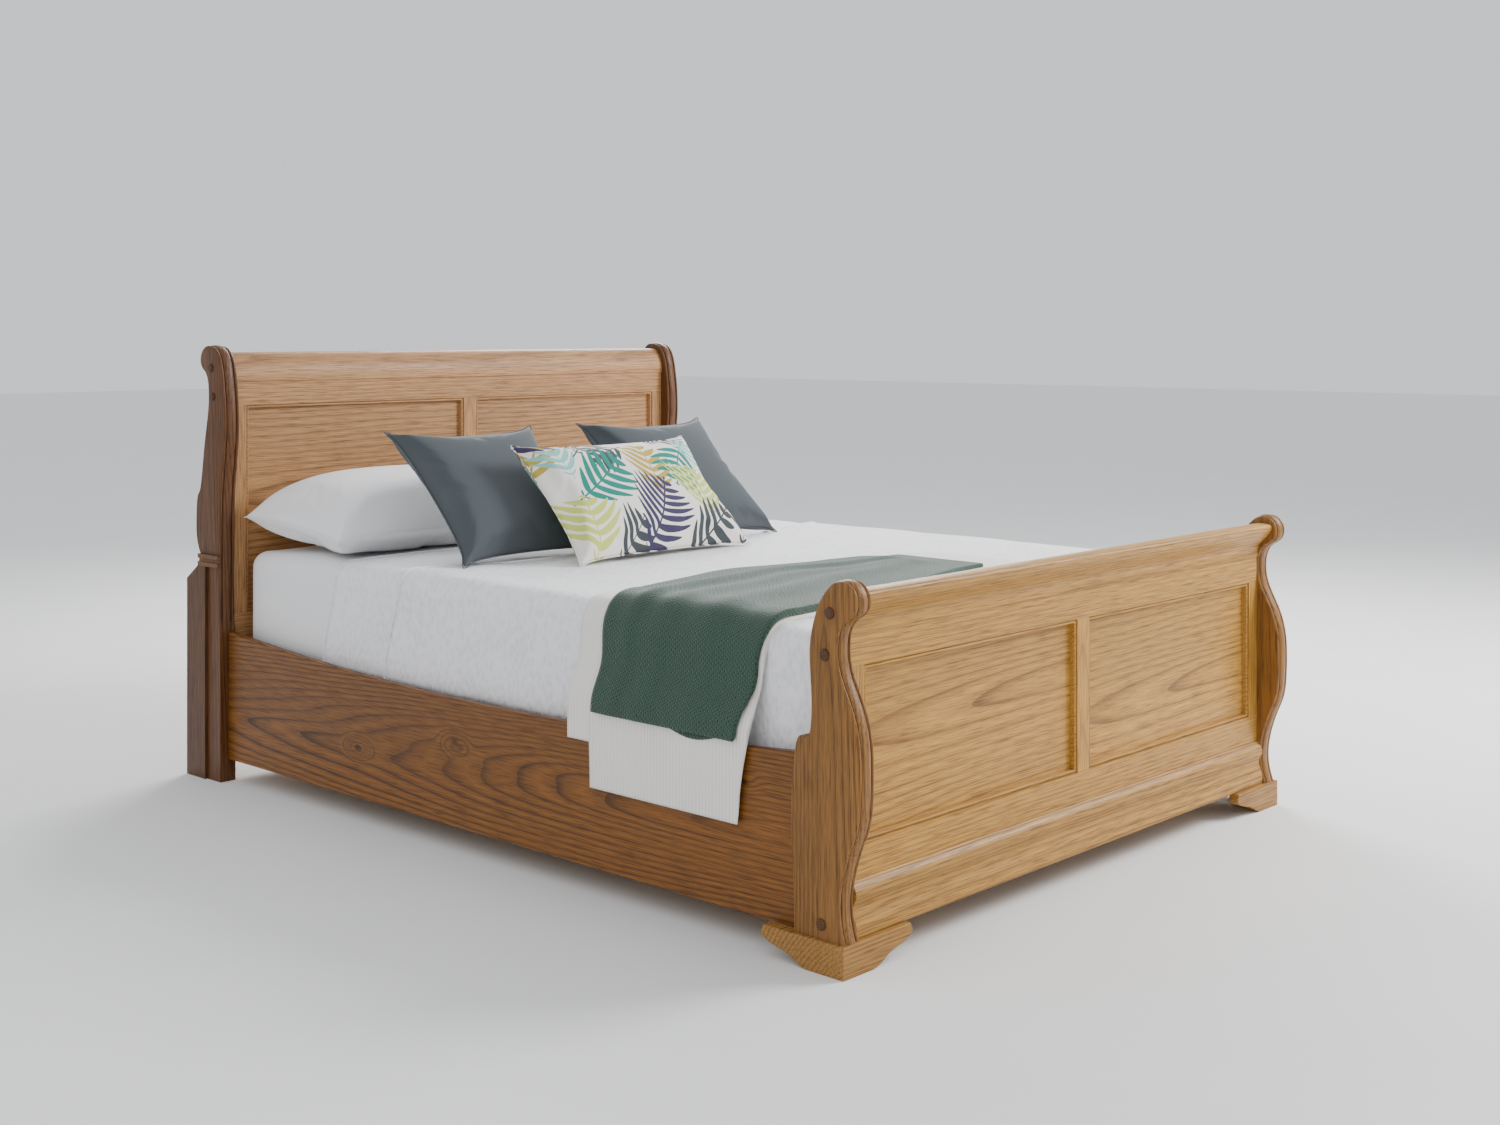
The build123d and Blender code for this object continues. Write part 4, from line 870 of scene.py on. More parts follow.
# ---------------------------------------------------------------- panelled ends
@dataclass
class PanelledEnd:
    """Footboard or headboard: CAD joinery in oak, and a scratched bead round each panel."""

    name: str
    tongue: float = 8 * MM  # the part of a panel that hides in the frame's groove
    light: str = "#C4923F"
    dark: str = "#7B511A"
    # Distance in from the frame's edge and depth behind the frame's face, mm: fillet, quirk, bead, quirk.
    bead: tuple[tuple[float, float], ...] = (
        (0.0, 2.6), (1.2, 2.6), (1.4, 4.6), (2.2, 4.8), (2.6, 3.4), (3.6, 2.2), (5.0, 1.7), (6.4, 2.2),
        (7.4, 3.6), (7.8, 5.4), (8.2, 8.5), (9.0, 14.0),
    )

    def board(self, part: str, grain: Grain, lift: float = 0.0, **changes: object) -> Timber:
        """Picks the timber of one board, with the tree's heart behind its middle.

        Args:
            part: The board's name within the end.
            grain: Its grain.
            lift: Metres from the board's middle up to the tree's heart.
            changes: Other fields of the timber.

        Returns:
            The timber.
        """
        low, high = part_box(f"{self.name}_{part}")
        middle = (low + high) / 2
        heart = (middle.x, high.y + 45 * MM, middle.z + lift)
        settings: dict = {"light": self.light, "dark": self.dark, **changes}
        return Timber(f"oak_{self.name}_{part}", grain, heart, **settings)

    def beads(self, finish: Timber) -> None:
        """Builds the mitred bead frames and settles them for both panels."""
        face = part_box(f"{self.name}_stiles")[0].y
        verts, faces = [], []
        for side in ("left", "right"):
            low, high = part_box(f"{self.name}_panel_{side}")
            left, right = low.x + self.tongue, high.x - self.tongue
            bottom, top = low.z + self.tongue, high.z - self.tongue
            corners = ((left, bottom, 1, 1), (right, bottom, -1, 1), (right, top, -1, -1), (left, top, 1, -1))
            start, wide = len(verts), len(self.bead) + 1
            for number, (x, z, dx, dz) in enumerate(corners):
                verts += [(x + dx * i * MM, face + d * MM, z + dz * i * MM) for i, d in self.bead]
                verts.append((x, face + self.bead[-1][1] * MM, z))
                here, there = start + number * wide, start + (number + 1) % 4 * wide
                for j, k in ((j, (j + 1) % wide) for j in range(wide)):
                    faces.append((here + j, there + j, there + k, here + k))
        piece = mesh_piece(f"{self.name}_beads", verts, faces, finish.material(), 50.0)
        tidy_mesh(piece)
        settle(piece, "frame", "oak_rail", f"{self.name}_panel_beads")

    def make(self) -> None:
        """Dresses every board of this end.

        The panels are flat-sawn oak with wide dark arches; rails and uprights are plainer, with their lines
        along each board, so the joints between them show.
        """
        for side, lift in (("left", 0.03), ("right", -0.05)):
            part = f"panel_{side}"
            timber = self.board(part, Grain.ACROSS, lift, ring=14.0, contrast=0.9, wander=30.0, lean=0.3)
            dress(f"{self.name}_{part}", timber.material())
        for part, lift in (("top_rail", 0.12), ("bottom_rail", 0.2), ("scroll_rail", -0.05)):
            timber = self.board(part, Grain.ACROSS, lift, contrast=0.6, wander=13.0, lean=0.07)
            dress(f"{self.name}_{part}", timber.material(), 0.8 * MM if "scroll" not in part else 0.0)
        for part in ("stiles", "mullion"):
            dress(f"{self.name}_{part}", self.board(part, Grain.UPRIGHT, contrast=0.55).material(), 0.8 * MM)
        self.beads(self.board("panel_beads", Grain.ACROSS, 0.3, contrast=0.4))


@dataclass
class FrameBase:
    """Side rails, rear legs, bracket feet, storage floor and fastenings, all in their CAD shapes."""

    ease: float = 1.2 * MM
    # Depth in front of the footboard's face and height above the plinth's lower edge, mm, top to bottom.
    ogee: tuple[tuple[float, float], ...] = (
        (2.0, 102.0), (3.2, 101.2), (4.4, 99.2), (4.9, 97.6), (5.3, 96.4), (8.4, 93.4), (11.4, 89.2),
        (13.6, 84.2), (14.7, 79.0), (14.4, 74.0), (12.7, 69.0), (10.0, 64.4), (7.6, 60.0), (6.3, 55.0),
        (6.1, 50.0), (6.9, 44.0), (9.0, 37.0), (11.7, 30.0), (13.8, 24.0), (14.8, 19.0), (15.0, 15.0),
        (15.0, 1.5), (13.5, 0.0),
    )

    def plinth(self, finish: Timber) -> None:
        """Builds the moulded plinth board: a small bead, a swelling, a hollow and a flat foot."""
        low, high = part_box("foot_plinth")
        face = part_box("foot_stiles")[0].y
        run = [(high.y, high.z)] + [(face - d * MM, low.z + h * MM) for d, h in self.ogee] + [(high.y, low.z)]
        verts = [(x, y, z) for x in (low.x, high.x) for y, z in run]
        count = len(run)
        faces = [(i, (i + 1) % count, (i + 1) % count + count, i + count) for i in range(count)]
        faces += [tuple(range(count)), tuple(range(count, 2 * count))[::-1]]
        piece = mesh_piece("foot_plinth_moulded", verts, faces, finish.material(), 42.0)
        tidy_mesh(piece)
        settle(piece, "frame", "oak_rail", "foot_plinth")

    def make(self) -> None:
        """Dresses each node in its own timber or metal."""
        for name in ("left", "right"):
            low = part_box(f"side_rail_{name}")[0]
            heart = (low.x + 80 * MM, 0.0, low.z + 130 * MM)
            spots = ((low.y + 0.15, 0.25), (0.05, 0.19), (0.42, 0.12))
            knots = tuple((low.x, y, low.z + z) for y, z in spots)
            # Wide flat-sawn boards with the bed's deepest figure: rolling lines that part round small knots.
            # Their brown is partly stain and partly painted shade on the outer face, which is turned from the
            # light.
            rail = Timber(
                f"oak_side_rail_{name}", Grain.ALONG, heart, "#8A571C", "#402508", 10.0, 1.0, 26.0, 0.45,
                knots=knots,
            )
            dress(f"side_rail_{name}", rail.material())
            low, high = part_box(f"rear_leg_{name}")
            heart = (low.x + 30 * MM, high.y + 40 * MM, 0.0)
            # Square legs in the darkest brown, partly stain and partly painted shade, seen mostly as a brown
            # edge.
            leg = Timber(f"oak_rear_leg_{name}", Grain.UPRIGHT, heart, "#5C381A", "#331C0B", contrast=0.7)
            dress(f"rear_leg_{name}", leg.material(), self.ease)
        low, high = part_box("bracket_fronts")
        # Feet and plinth in the footboard's golden stain, caps and pegs in the posts' brown.
        heart = (0.0, low.y - 40 * MM, -60 * MM)
        feet = Timber("oak_feet", Grain.ACROSS, heart, "#B98946", "#744F1E", lean=0.08)
        for node in ("bracket_fronts", "bracket_sides"):
            dress(node, feet.material(), self.ease)
        cap = Timber("oak_caps", Grain.ACROSS, (0.0, high.y, 0.4), "#7A5029", "#492C12", contrast=0.5)
        dress("rear_leg_caps", cap.material(), self.ease)
        heart = (0.0, low.y + 90 * MM, 0.02)
        self.plinth(Timber("oak_plinth", Grain.ACROSS, heart, "#C08F41", "#77501A", lean=0.06))
        pegs = Timber("oak_pegs", Grain.ACROSS, light="#5F3C1C", dark="#38200C", ring=3.0)
        dress("wooden_pegs", pegs.material())
        # Unstained planed pine, pale yellow with close rings.
        pine = Timber("pine_inside", Grain.ALONG, (0.5, 0.0, 0.3), "#D2AE78", "#A9824B", ring=6.0)
        for node in ("side_ledges", "floor_battens", "centre_bearer", "lift_packers", "foot_glue_blocks"):
            dress(node, pine.material(), self.ease)
        # Rotary-cut plywood faces: broad faint waves on pale brown.
        for node, name, grain, heart in (
            ("storage_floor", "plywood_boards", Grain.ALONG, (0.2, 0.0, -0.4)),
            ("head_base_board", "plywood_back", Grain.ACROSS, (0.2, 0.7, 0.5)),
        ):
            dress(node, Timber(name, grain, heart, "#C8A271", "#A17C4C", 14.0, 0.5).material())
        # Zinc-plated steel is a dull silver with soft spangle, and moulded nylon an even satin black.
        zinc = Coating("zinc_plated_steel", "#B9BAB5", 1.0, 0.42, grit=1.2)
        for node in ("corner_plates", "bed_bolts"):
            dress(node, zinc.material(), 0.5 * MM)
        dress("bearer_glides", Coating("nylon_glide", "#1B1B1B", 0.0, 0.5).material(), 1.0 * MM)


# ---------------------------------------------------------------- lifting platform and its linkage
@dataclass
class LiftPlatform:
    """Powder-coated steel frame with birch slats, its lift arms and gas struts."""

    screw_radius: float = 4.2 * MM
    screw_height: float = 2.2 * MM
    half_bar: float = 20 * MM  # from a bar's outer edge to its screws

    def screws(self, steel: bpy.types.Material) -> None:
        """Sets two screws in each end of every slat with Geometry Nodes."""
        bars_low, bars_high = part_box("platform_side_bars")
        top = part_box("platform_slats")[1].z
        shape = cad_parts["platform_slats"].data
        starts = sorted({round(v.co.y, 4) for v in shape.vertices})
        inset = self.half_bar
        rows = (bars_low.x + inset, -inset / 2, inset / 2, bars_high.x - inset)
        places = [
            (x, low + share * (high - low), top)
            for low, high in zip(starts[::2], starts[1::2])
            for x in rows
            for share in (0.25, 0.75)
        ]
        sizes = {"Radius": self.screw_radius, "Height": self.screw_height}
        piece = run_tool("slat_screws", places, False, screw_tool(steel), sizes)
        settle(piece, "platform", "zinc_steel")

    def make(self) -> None:
        """Dresses the platform and linkage and adds the screws."""
        # Powder-coated steel: near black, fine orange-peel grain, a satin gloss along the edges.
        black = Coating("black_powder_coat", "#17181A", 0.0, 0.48, coat=0.1).material()
        for node, ease in (
            ("platform_side_bars", 0.8 * MM), ("platform_end_bars", 0.8 * MM), ("platform_spine", 0.0),
            ("mattress_stop", 0.0), ("lift_base_plates", 0.0), ("lift_arms", 0.0), ("platform_hangers", 0.0),
        ):
            dress(node, black, ease)
        # Enamelled cylinders are glossier than the frame, and the rods bright hard chrome.
        dress("strut_cylinders", Coating("black_enamel", "#0E0F10", 0.0, 0.22, coat=0.4).material())
        dress("strut_rods", Coating("hard_chrome", "#D9DADB", 1.0, 0.12, grit=0.4).material())
        # Peeled birch veneer: nearly white, with a faint broad figure.
        birch = Timber("birch_veneer", Grain.ACROSS, (0.0, 0.6, 0.2), "#DCC197", "#BE9C6B", 16.0, 0.4)
        dress("platform_slats", birch.material(), 1.5 * MM)
        # Ribbed nylon webbing, matt black.
        webbing = Cloth("nylon_webbing", "#26282B", "#0D0E10", Weave.RIB, pitch=2.5, depth=0.4, sheen=0.1)
        dress("pull_strap", webbing.material(), 0.8 * MM)
        # Zinc again, a little brighter on the small heads.
        self.screws(Coating("zinc_screw", "#C3C4BF", 1.0, 0.35).material())


# ---------------------------------------------------------------- mattress and its covers
@dataclass
class MadeBed:
    """Mattress in a fitted sheet, a bedspread and a piped top cover, all following one soft box."""

    radius: float = 42 * MM
    step: float = 16 * MM
    cover_radius: float = 46 * MM
    cloth: float = 3.2 * MM
    piping: float = 3.6 * MM
    soften: float = 3.0 * MM  # how far the surface wanders
    spread_drop: float = 50 * MM  # how far the bedspread's lower edge runs on past its top
    cover_top: float = -75 * MM  # place of the top cover's edge on the middle of the bed
    cover_side: float = 85 * MM  # how much further it runs on at the sides
    cover_drop: float = 60 * MM  # and again at the lower edge of the drop

    def lines(self, low: float, high: float, rounded: tuple[bool, bool]) -> list[float]:
        """Grid lines along one axis, closer where an edge is rounded."""
        first = low + self.cover_radius if rounded[0] else low
        last = high - self.cover_radius if rounded[1] else high
        shares = (0.0, 0.12, 0.3, 0.5, 0.75)
        start = [low + s * self.cover_radius for s in shares] if rounded[0] else []
        end = [high - s * self.cover_radius for s in shares[::-1]] if rounded[1] else []
        return start + list(np.linspace(first, last, max(3, round((last - first) / self.step)))) + end

    def soft_box(
        self, low: Vector, high: Vector, radius: float, sides: str, open_head: bool
    ) -> tuple[list[Vector], list[tuple]]:
        """A box with rounded edges as a grid of quads.

        Args:
            low: Its lowest corner.
            high: Its highest corner.
            radius: Radius of the rounded edges.
            sides: Which sides it has: x both long sides, y the foot, Y the head, z the bottom, Z the top.
            open_head: Whether its head end and its bottom stay square because they are open.

        Returns:
            Its points and its faces.
        """
        rounded = [(True, True), (True, not open_head), (not open_head, True)]
        grid = [self.lines(low[a], high[a], rounded[a]) for a in range(3)]
        inner_low = [low[a] + radius if rounded[a][0] else low[a] - 1.0 for a in range(3)]
        inner_high = [high[a] - radius if rounded[a][1] else high[a] + 1.0 for a in range(3)]
        wanted = {"x": [(0, -1), (0, 1)], "y": [(1, -1)], "Y": [(1, 1)], "z": [(2, -1)], "Z": [(2, 1)]}
        seen: dict[tuple, int] = {}
        points: list[Vector] = []
        faces: list[tuple] = []

        def corner(spot: list[float]) -> int:
            """Number of the rounded point for a grid corner, made when it is first met."""
            key = tuple(round(c, 6) for c in spot)
            if key not in seen:
                core = Vector([min(max(c, a), b) for c, a, b in zip(spot, inner_low, inner_high)])
                away = Vector(spot) - core
                seen[key] = len(points)
                points.append(core + away.normalized() * radius if away.length > 1e-9 else Vector(spot))
            return seen[key]

        for letter in sides:
            for axis, sign in wanted[letter]:
                u, v = (axis + 1) % 3, (axis + 2) % 3
                for i in range(len(grid[u]) - 1):
                    for j in range(len(grid[v]) - 1):
                        quad = []
                        for du, dv in ((0, 0), (1, 0), (1, 1), (0, 1)):
                            spot = [0.0, 0.0, 0.0]
                            spot[axis] = high[axis] if sign > 0 else low[axis]
                            spot[u], spot[v] = grid[u][i + du], grid[v][j + dv]
                            quad.append(corner(spot))
                        faces.append(tuple(quad if sign > 0 else quad[::-1]))
        return points, faces

    def soften_point(self, point: Vector, middle: Vector) -> Vector:
        """Moves a point by the slow unevenness of the filling, the same for every layer over it."""
        swell = noise.noise(point * 5.0) + 0.45 * noise.noise(point * 13.0)
        out = Vector(((point.x - middle.x) / 0.76, 0.0, (point.z - middle.z) / 0.14))
        out = Vector((out.x**9, 0.0, out.z**5))
        if out.length > 1.0:
            out.normalize()
        return point + out * self.soften * swell

    def mattress(self, body: str) -> None:
        """Builds the mattress in its fitted sheet."""
        low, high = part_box("mattress")
        middle = (low + high) / 2
        points, faces = self.soft_box(low, high, self.radius, "xyYzZ", False)
        # Plain-woven cotton percale: smooth, cool white, hardly any sheen.
        sheet = Cloth("cotton_percale_sheet", "#EDEDEE", "#E3E3E5", Weave.PERCALE, 1.2, 0.15, 0.1)
        soft = [self.soften_point(p, middle) for p in points]
        piece = mesh_piece("fitted_sheet_mattress", soft, faces, sheet.material())
        tidy_mesh(piece)
        settle(piece, body, "mattress_ticking", "mattress")

    def cover(self, node: str, edge: Callable[[float, float], float], finish: Cloth, depth: float) -> None:
        """Builds a fitted cover with a shaped edge towards the pillows and a welt along it.

        Args:
            node: The CAD node.
            edge: Gives how far the edge lies beyond the CAD cover's end at (across, height), in metres.
            finish: Its cloth.
            depth: How far its outer face stands out of the CAD cover's.
        """
        low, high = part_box(node)
        mattress_low, mattress_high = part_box("mattress")
        middle = (mattress_low + mattress_high) / 2
        out = Vector((depth, depth, 0.0))
        top = Vector((high.x + depth, high.y, high.z + depth))
        points, faces = self.soft_box(low - out, top, self.cover_radius, "xyZ", True)
        warped = []
        for p in points:
            move = edge(p.x, p.z) * ease_in(p.y, high.y - 0.35, high.y)
            warped.append(self.soften_point(Vector((p.x, p.y + move, p.z)), middle))
        material = finish.material()
        piece = mesh_piece(node + "_cloth", warped, faces, material, 180.0)
        rim = [i for i, p in enumerate(points) if abs(p.y - high.y) < 0.01 * MM]
        rim.sort(
            key=lambda i: points[i].x
            if points[i].z > high.z - self.cover_radius
            else math.copysign(2.0 - points[i].z, points[i].x)
        )
        line = [warped[i] for i in rim]
        add_modifier(piece, "SOLIDIFY", thickness=self.cloth, offset=-1.0)
        bake_modifiers(piece)
        settle(piece, "platform", "white_matelasse", node)
        welt = run_tool(node + "_piping", line, False, welt_tool(material), {"Radius": self.piping})
        settle(welt, "platform", "white_matelasse")

    def make(self) -> None:
        """Builds the mattress and both covers."""
        self.mattress("platform")
        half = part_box("mattress")[1].x
        # Matelasse cotton: white, puckered all over by the second cloth woven behind it.
        spread = Cloth("cotton_matelasse_spread", "#F2F2F4", "#DCDCE1", Weave.MATELASSE, 10.0, 2.6)
        quilt = Cloth("cotton_matelasse_cover", "#F4F4F6", "#DADADF", Weave.MATELASSE, 11.0, 3.0)
        proud = 1.0 * MM

        def fall(height: float) -> float:
            """0 on top of the bed and 1 at the lower edge of the drop."""
            return ease_in(0.6 - height, 0.0, 0.25)

        def top_edge(across: float, height: float) -> float:
            """The top cover's edge, which runs back to the pillows towards the sides."""
            side = self.cover_side * ease_in(abs(across), 0.5 * half, half)
            return self.cover_top + side + self.cover_drop * fall(height)

        self.cover("bedspread", lambda x, z: self.spread_drop * fall(z), spread, proud)
        self.cover("top_cover", top_edge, quilt, proud)


# ---------------------------------------------------------------- folded blankets
@dataclass
class Blanket:
    """A blanket folded in two along its foot-side edge, laid across the bed and hanging over one side.

    Its line across the bed runs from the far end on the mattress, over the edge, and down past the rail.
    Places along that line are given as shares from 0 at the far end to 1 at the hem.
    """

    node: str
    finish: Cloth
    slot: str
    upper_low: tuple[tuple[float, float], ...]  # (share, y) of the folded edge
    upper_high: tuple[tuple[float, float], ...]  # (share, y) of the upper layer's free edge
    under_high: tuple[tuple[float, float], ...]  # (share, y) of the under layer's free edge
    hem: float
    under_hem: float
    lift: float
    flat: tuple[float, float]
    reach: float
    thick: float = 3.4 * MM
    gap: float = 1.6 * MM
    ridge: float = 4.0 * MM
    step: float = 6 * MM
    dip: float = 0.0  # how far the under layer's hem hangs below the upper one's where it shows
    end_radius: float = 46 * MM
    slope_foot: float = 19 * MM  # above the rail's top, where the cloth turns down
    columns: int = 64  # across each layer
    fold_columns: int = 9  # round the fold
    fold_bulge: float = 2.4 * MM
    stitch: float = 5 * MM
    thread: float = 0.5 * MM

    # Soft ridges of the folded cloth: centre across it, drift towards the far end, width, height (shares).
    RIDGES = ((0.86, -0.20, 0.06, 1.0), (0.66, -0.16, 0.08, 0.7), (0.30, 0.12, 0.1, 0.8))

    def line(self, lift: float, hem: float) -> np.ndarray:
        """The blanket's line across the bed at a height above the covers.

        Args:
            lift: Metres above the top cover.
            hem: Height of its lower edge.

        Returns:
            Evenly spaced (x, z) points from the far end to the hem.
        """
        cover_low, cover_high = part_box("top_cover")
        rail_low, rail_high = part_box("side_rail_left")
        top = cover_high.z + 1.5 * MM + lift
        side = cover_low.x - 1.5 * MM - lift
        centre = (cover_low.x + self.end_radius, cover_high.z - self.end_radius)
        bend = self.end_radius + 2.5 * MM + lift
        arc = [
            (centre[0] - bend * math.sin(math.radians(a)), centre[1] + bend * math.cos(math.radians(a)))
            for a in (0, 22, 45, 66)
        ]
        hang = rail_low.x - 4.5 * MM - lift
        flat_run = [(x, top) for x in np.linspace(self.reach, centre[0] + 0.05, 6)]
        fall = [
            (side + 0.28 * (hang - side), 0.45 * rail_high.z + 0.55 * centre[1]),
            (hang + 1.5 * MM, rail_high.z + self.slope_foot),
            (hang, rail_high.z - 0.03),
            (hang, hem),
        ]
        points = flat_run + arc + [p for p in fall if p[1] >= hem]
        run = np.linalg.norm(np.diff(np.array(points), axis=0), axis=1).sum()
        return smooth_path(points, int(run / self.step))

    @staticmethod
    def edge(keys: Sequence, share: float) -> float:
        """Smoothly interpolated place of an edge at a share of the line."""
        shares = [k[0] for k in keys]
        values = [k[1] for k in keys]
        k = min(max(int(np.searchsorted(shares, share)) - 1, 0), len(shares) - 2)
        t = min(max((share - shares[k]) / (shares[k + 1] - shares[k]), 0.0), 1.0)
        t = t * t * (3 - 2 * t)
        return values[k] + t * (values[k + 1] - values[k])

    def waviness(self, share: float, across: float) -> float:
        """Height of the soft ridges of the folded cloth, in metres, never below 0."""
        fade = ease_in(share, 0.02, 0.12) * (1 - 0.75 * ease_in(share, 0.72, 0.85))
        ridges = 0.0
        for centre, drift, width, height in self.RIDGES:
            away = (across - centre - drift * (1 - share)) / width
            ridges += height * math.exp(-away * away)
        wobble = 0.35 * (1 + noise.noise(Vector((share * 7, across * 4, self.lift * 900))))
        return self.ridge * fade * (ridges + wobble)

    def hang(self, share: float, across: float) -> float:
        """How much lower the under layer lies at a place of the line and across the fold, in metres."""
        away = min(1.0, abs(across - 0.3) / 0.36)
        return self.dip * math.cos(math.pi * away) * ease_in(share, 0.85, 1.0)

    def make(self) -> None:
        """Builds both layers as one folded sheet, gives it thickness and a stitched hem."""
        upper = self.line(self.lift + self.thick + self.gap, self.hem)
        under = self.line(self.lift, self.under_hem)
        count = len(upper)
        under = smooth_path(under, count)
        half, fold = self.columns, self.fold_columns
        verts, rows = [], []
        for i in range(count):
            share = i / (count - 1)
            tangent = upper[min(i + 1, count - 1)] - upper[max(i - 1, 0)]
            tangent = tangent / np.linalg.norm(tangent)
            normal = np.array([tangent[1], -tangent[0]]) * (1 if tangent[0] < 0 or tangent[1] < 0 else -1)
            folded, free, below = (
                self.edge(keys, share) for keys in (self.upper_low, self.upper_high, self.under_high)
            )
            row = []
            for j in range(half):
                t = 1 - j / (half - 1)
                x, z = upper[i] + normal * self.waviness(share, t)
                row.append((x, folded + (free - folded) * t, z))
            for j in range(1, fold):
                angle = math.pi * j / fold
                mix = 0.5 * (1 - math.cos(angle))
                x, z = upper[i] * (1 - mix) + under[i] * mix + normal * self.waviness(share, 0.0) * (1 - mix)
                row.append((x, folded - self.fold_bulge * math.sin(angle), z - mix * self.hang(share, 0.0)))
            for j in range(half):
                t = j / (half - 1)
                x, z = under[i]
                row.append((x, folded + (below - folded) * t, z - self.hang(share, t)))
            rows.append(range(len(verts), len(verts) + len(row)))
            verts += row
        faces = []
        for this, following in zip(rows, rows[1:]):
            faces += [(this[j], this[j + 1], following[j + 1], following[j]) for j in range(len(this) - 1)]
        material = self.finish.material()
        piece = mesh_piece(self.node + "_folded", verts, faces, material, 180.0)
        add_modifier(piece, "SOLIDIFY", thickness=self.thick, offset=0.0)
        bake_modifiers(piece)
        settle(piece, "platform", self.slot, self.node)
        seam = [Vector(verts[rows[-3][j]]) + Vector((-self.thick / 2, 0.0, 0.0)) for j in range(2, half - 1)]
        sizes = {"Pitch": self.stitch, "Thread": self.thread}
        hem = run_tool(self.node + "_hem_stitches", seam, False, stitch_tool(material), sizes)
        settle(hem, "platform", self.slot)


# ---------------------------------------------------------------- cushions and pillow
@dataclass
class Cushion:
    """A stuffed cushion: two panels sewn round a welt, blown up by a cloth simulation, then laid in place."""

    node: str
    name: str
    finish: Cloth | LeafPrint
    slot: str
    width: float
    height: float
    plump: float  # thickness before it is blown up, metres
    lean: float  # degrees
    pressure: float = 4.0
    cap: float = 22 * MM
    pinch: float = 0.035
    ears: float = 0.0  # how far the corners stand out past the slack edges, metres
    welt: float = 1.6 * MM
    step: float = 8 * MM
    fill: float = 0.7
    sag: float = 0.0  # how far the seam lies below the middle, metres
    shift: tuple[float, float, float] = (0.0, 0.0, 0.0)

    STEPS = 20  # of the simulation

    def panels(self) -> tuple[list[tuple], list[tuple], list[int]]:
        """The two panels before stuffing, lying flat.

        Returns:
            Points, faces, and the numbers of the points along the seam in order.
        """
        columns, rows = round(self.width / self.step), round(self.height / self.step)
        points: list[tuple] = []
        index: dict[tuple[int, int, int], int] = {}
        for layer in (1, -1):
            for i in range(columns + 1):
                for j in range(rows + 1):
                    on_seam = i in (0, columns) or j in (0, rows)
                    if on_seam and layer < 0:
                        index[layer, i, j] = index[1, i, j]
                        continue
                    u, v = 2 * i / columns - 1, 2 * j / rows - 1
                    slack = self.ears * (1 - abs(u * v) ** 6)
                    x = (self.width / 2 - slack) * u * (1 - self.pinch * (1 - v * v))
                    y = (self.height / 2 - slack) * v * (1 - self.pinch * (1 - u * u))
                    dome = max(0.0, (1 - u**4) * (1 - v**4)) ** 0.5 * (1 - 0.35 * u * u) * (1 - 0.35 * v * v)
                    index[layer, i, j] = len(points)
                    points.append((x, y, layer * self.plump / 2 * dome))
        faces = []
        for layer in (1, -1):
            for i in range(columns):
                for j in range(rows):
                    quad = [index[layer, i + a, j + b] for a, b in ((0, 0), (1, 0), (1, 1), (0, 1))]
                    faces.append(tuple(quad if layer > 0 else quad[::-1]))
        seam = [index[1, i, 0] for i in range(columns)] + [index[1, columns, j] for j in range(rows)]
        seam += [index[1, i, rows] for i in range(columns, 0, -1)]
        seam += [index[1, 0, j] for j in range(rows, 0, -1)]
        return points, faces, seam

    def stuff(self, piece: bpy.types.Object) -> None:
        """Blows the panels up by cloth simulation and keeps each point within the cap."""
        before = np.array([v.co for v in piece.data.vertices])
        cloth = piece.modifiers.new("stuffing", "CLOTH")
        cloth.settings.effector_weights.gravity = 0.0
        cloth.collision_settings.use_collision = False
        for name, value in (
            ("use_pressure", True), ("uniform_pressure_force", self.pressure), ("quality", 6), ("mass", 0.3),
            ("tension_stiffness", 18.0), ("compression_stiffness", 18.0), ("bending_stiffness", 0.6),
        ):
            setattr(cloth.settings, name, value)
        for step in range(1, self.STEPS + 1):
            bpy.context.scene.frame_set(step)
        done = piece.evaluated_get(bpy.context.evaluated_depsgraph_get())
        after = np.array([v.co for v in done.data.vertices])
        piece.modifiers.clear()
        bpy.context.scene.frame_set(1)
        moved = after - before
        moved -= moved.mean(axis=0)
        length = np.linalg.norm(moved, axis=1)
        moved *= (np.minimum(length, self.cap) / np.maximum(length, 1e-9))[:, None]
        piece.data.vertices.foreach_set("co", (before + moved).ravel())

    def lay(self, piece: bpy.types.Object, floor: float) -> None:
        """Turns the cushion into place and flattens what would sink into the bed."""
        low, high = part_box(self.node)
        middle = (low + high) / 2 + Vector(self.shift)
        turned = Matrix.Rotation(math.radians(self.lean), 4, "X")
        for vertex in piece.data.vertices:
            rim = max(abs(vertex.co.x) / self.width, abs(vertex.co.y) / self.height) * 2
            vertex.co.z -= self.sag * rim**3
        piece.data.transform(Matrix.Translation(middle) @ turned)
        for vertex in piece.data.vertices:
            if vertex.co.z < floor:
                vertex.co.z = floor + 0.15 * MM * (1 + noise.noise(vertex.co * 20))

    def make(self, floor: float) -> None:
        """Builds, stuffs, lays and settles the cushion.

        Args:
            floor: Height of the surface that it rests on.
        """
        points, faces, seam = self.panels()
        material = self.finish.material()
        piece = mesh_piece(self.name, points, faces, material, 180.0)
        self.stuff(piece)
        self.lay(piece, floor)
        line = [piece.data.vertices[i].co.copy() for i in seam]
        add_modifier(piece, "SUBSURF", levels=1, render_levels=1)
        bake_modifiers(piece)
        welt = run_tool(self.name + "_welt", line, True, welt_tool(material), {"Radius": self.welt})
        join(piece, welt)
        piece.data.shade_smooth()
        settle(piece, "platform", self.slot, self.node)


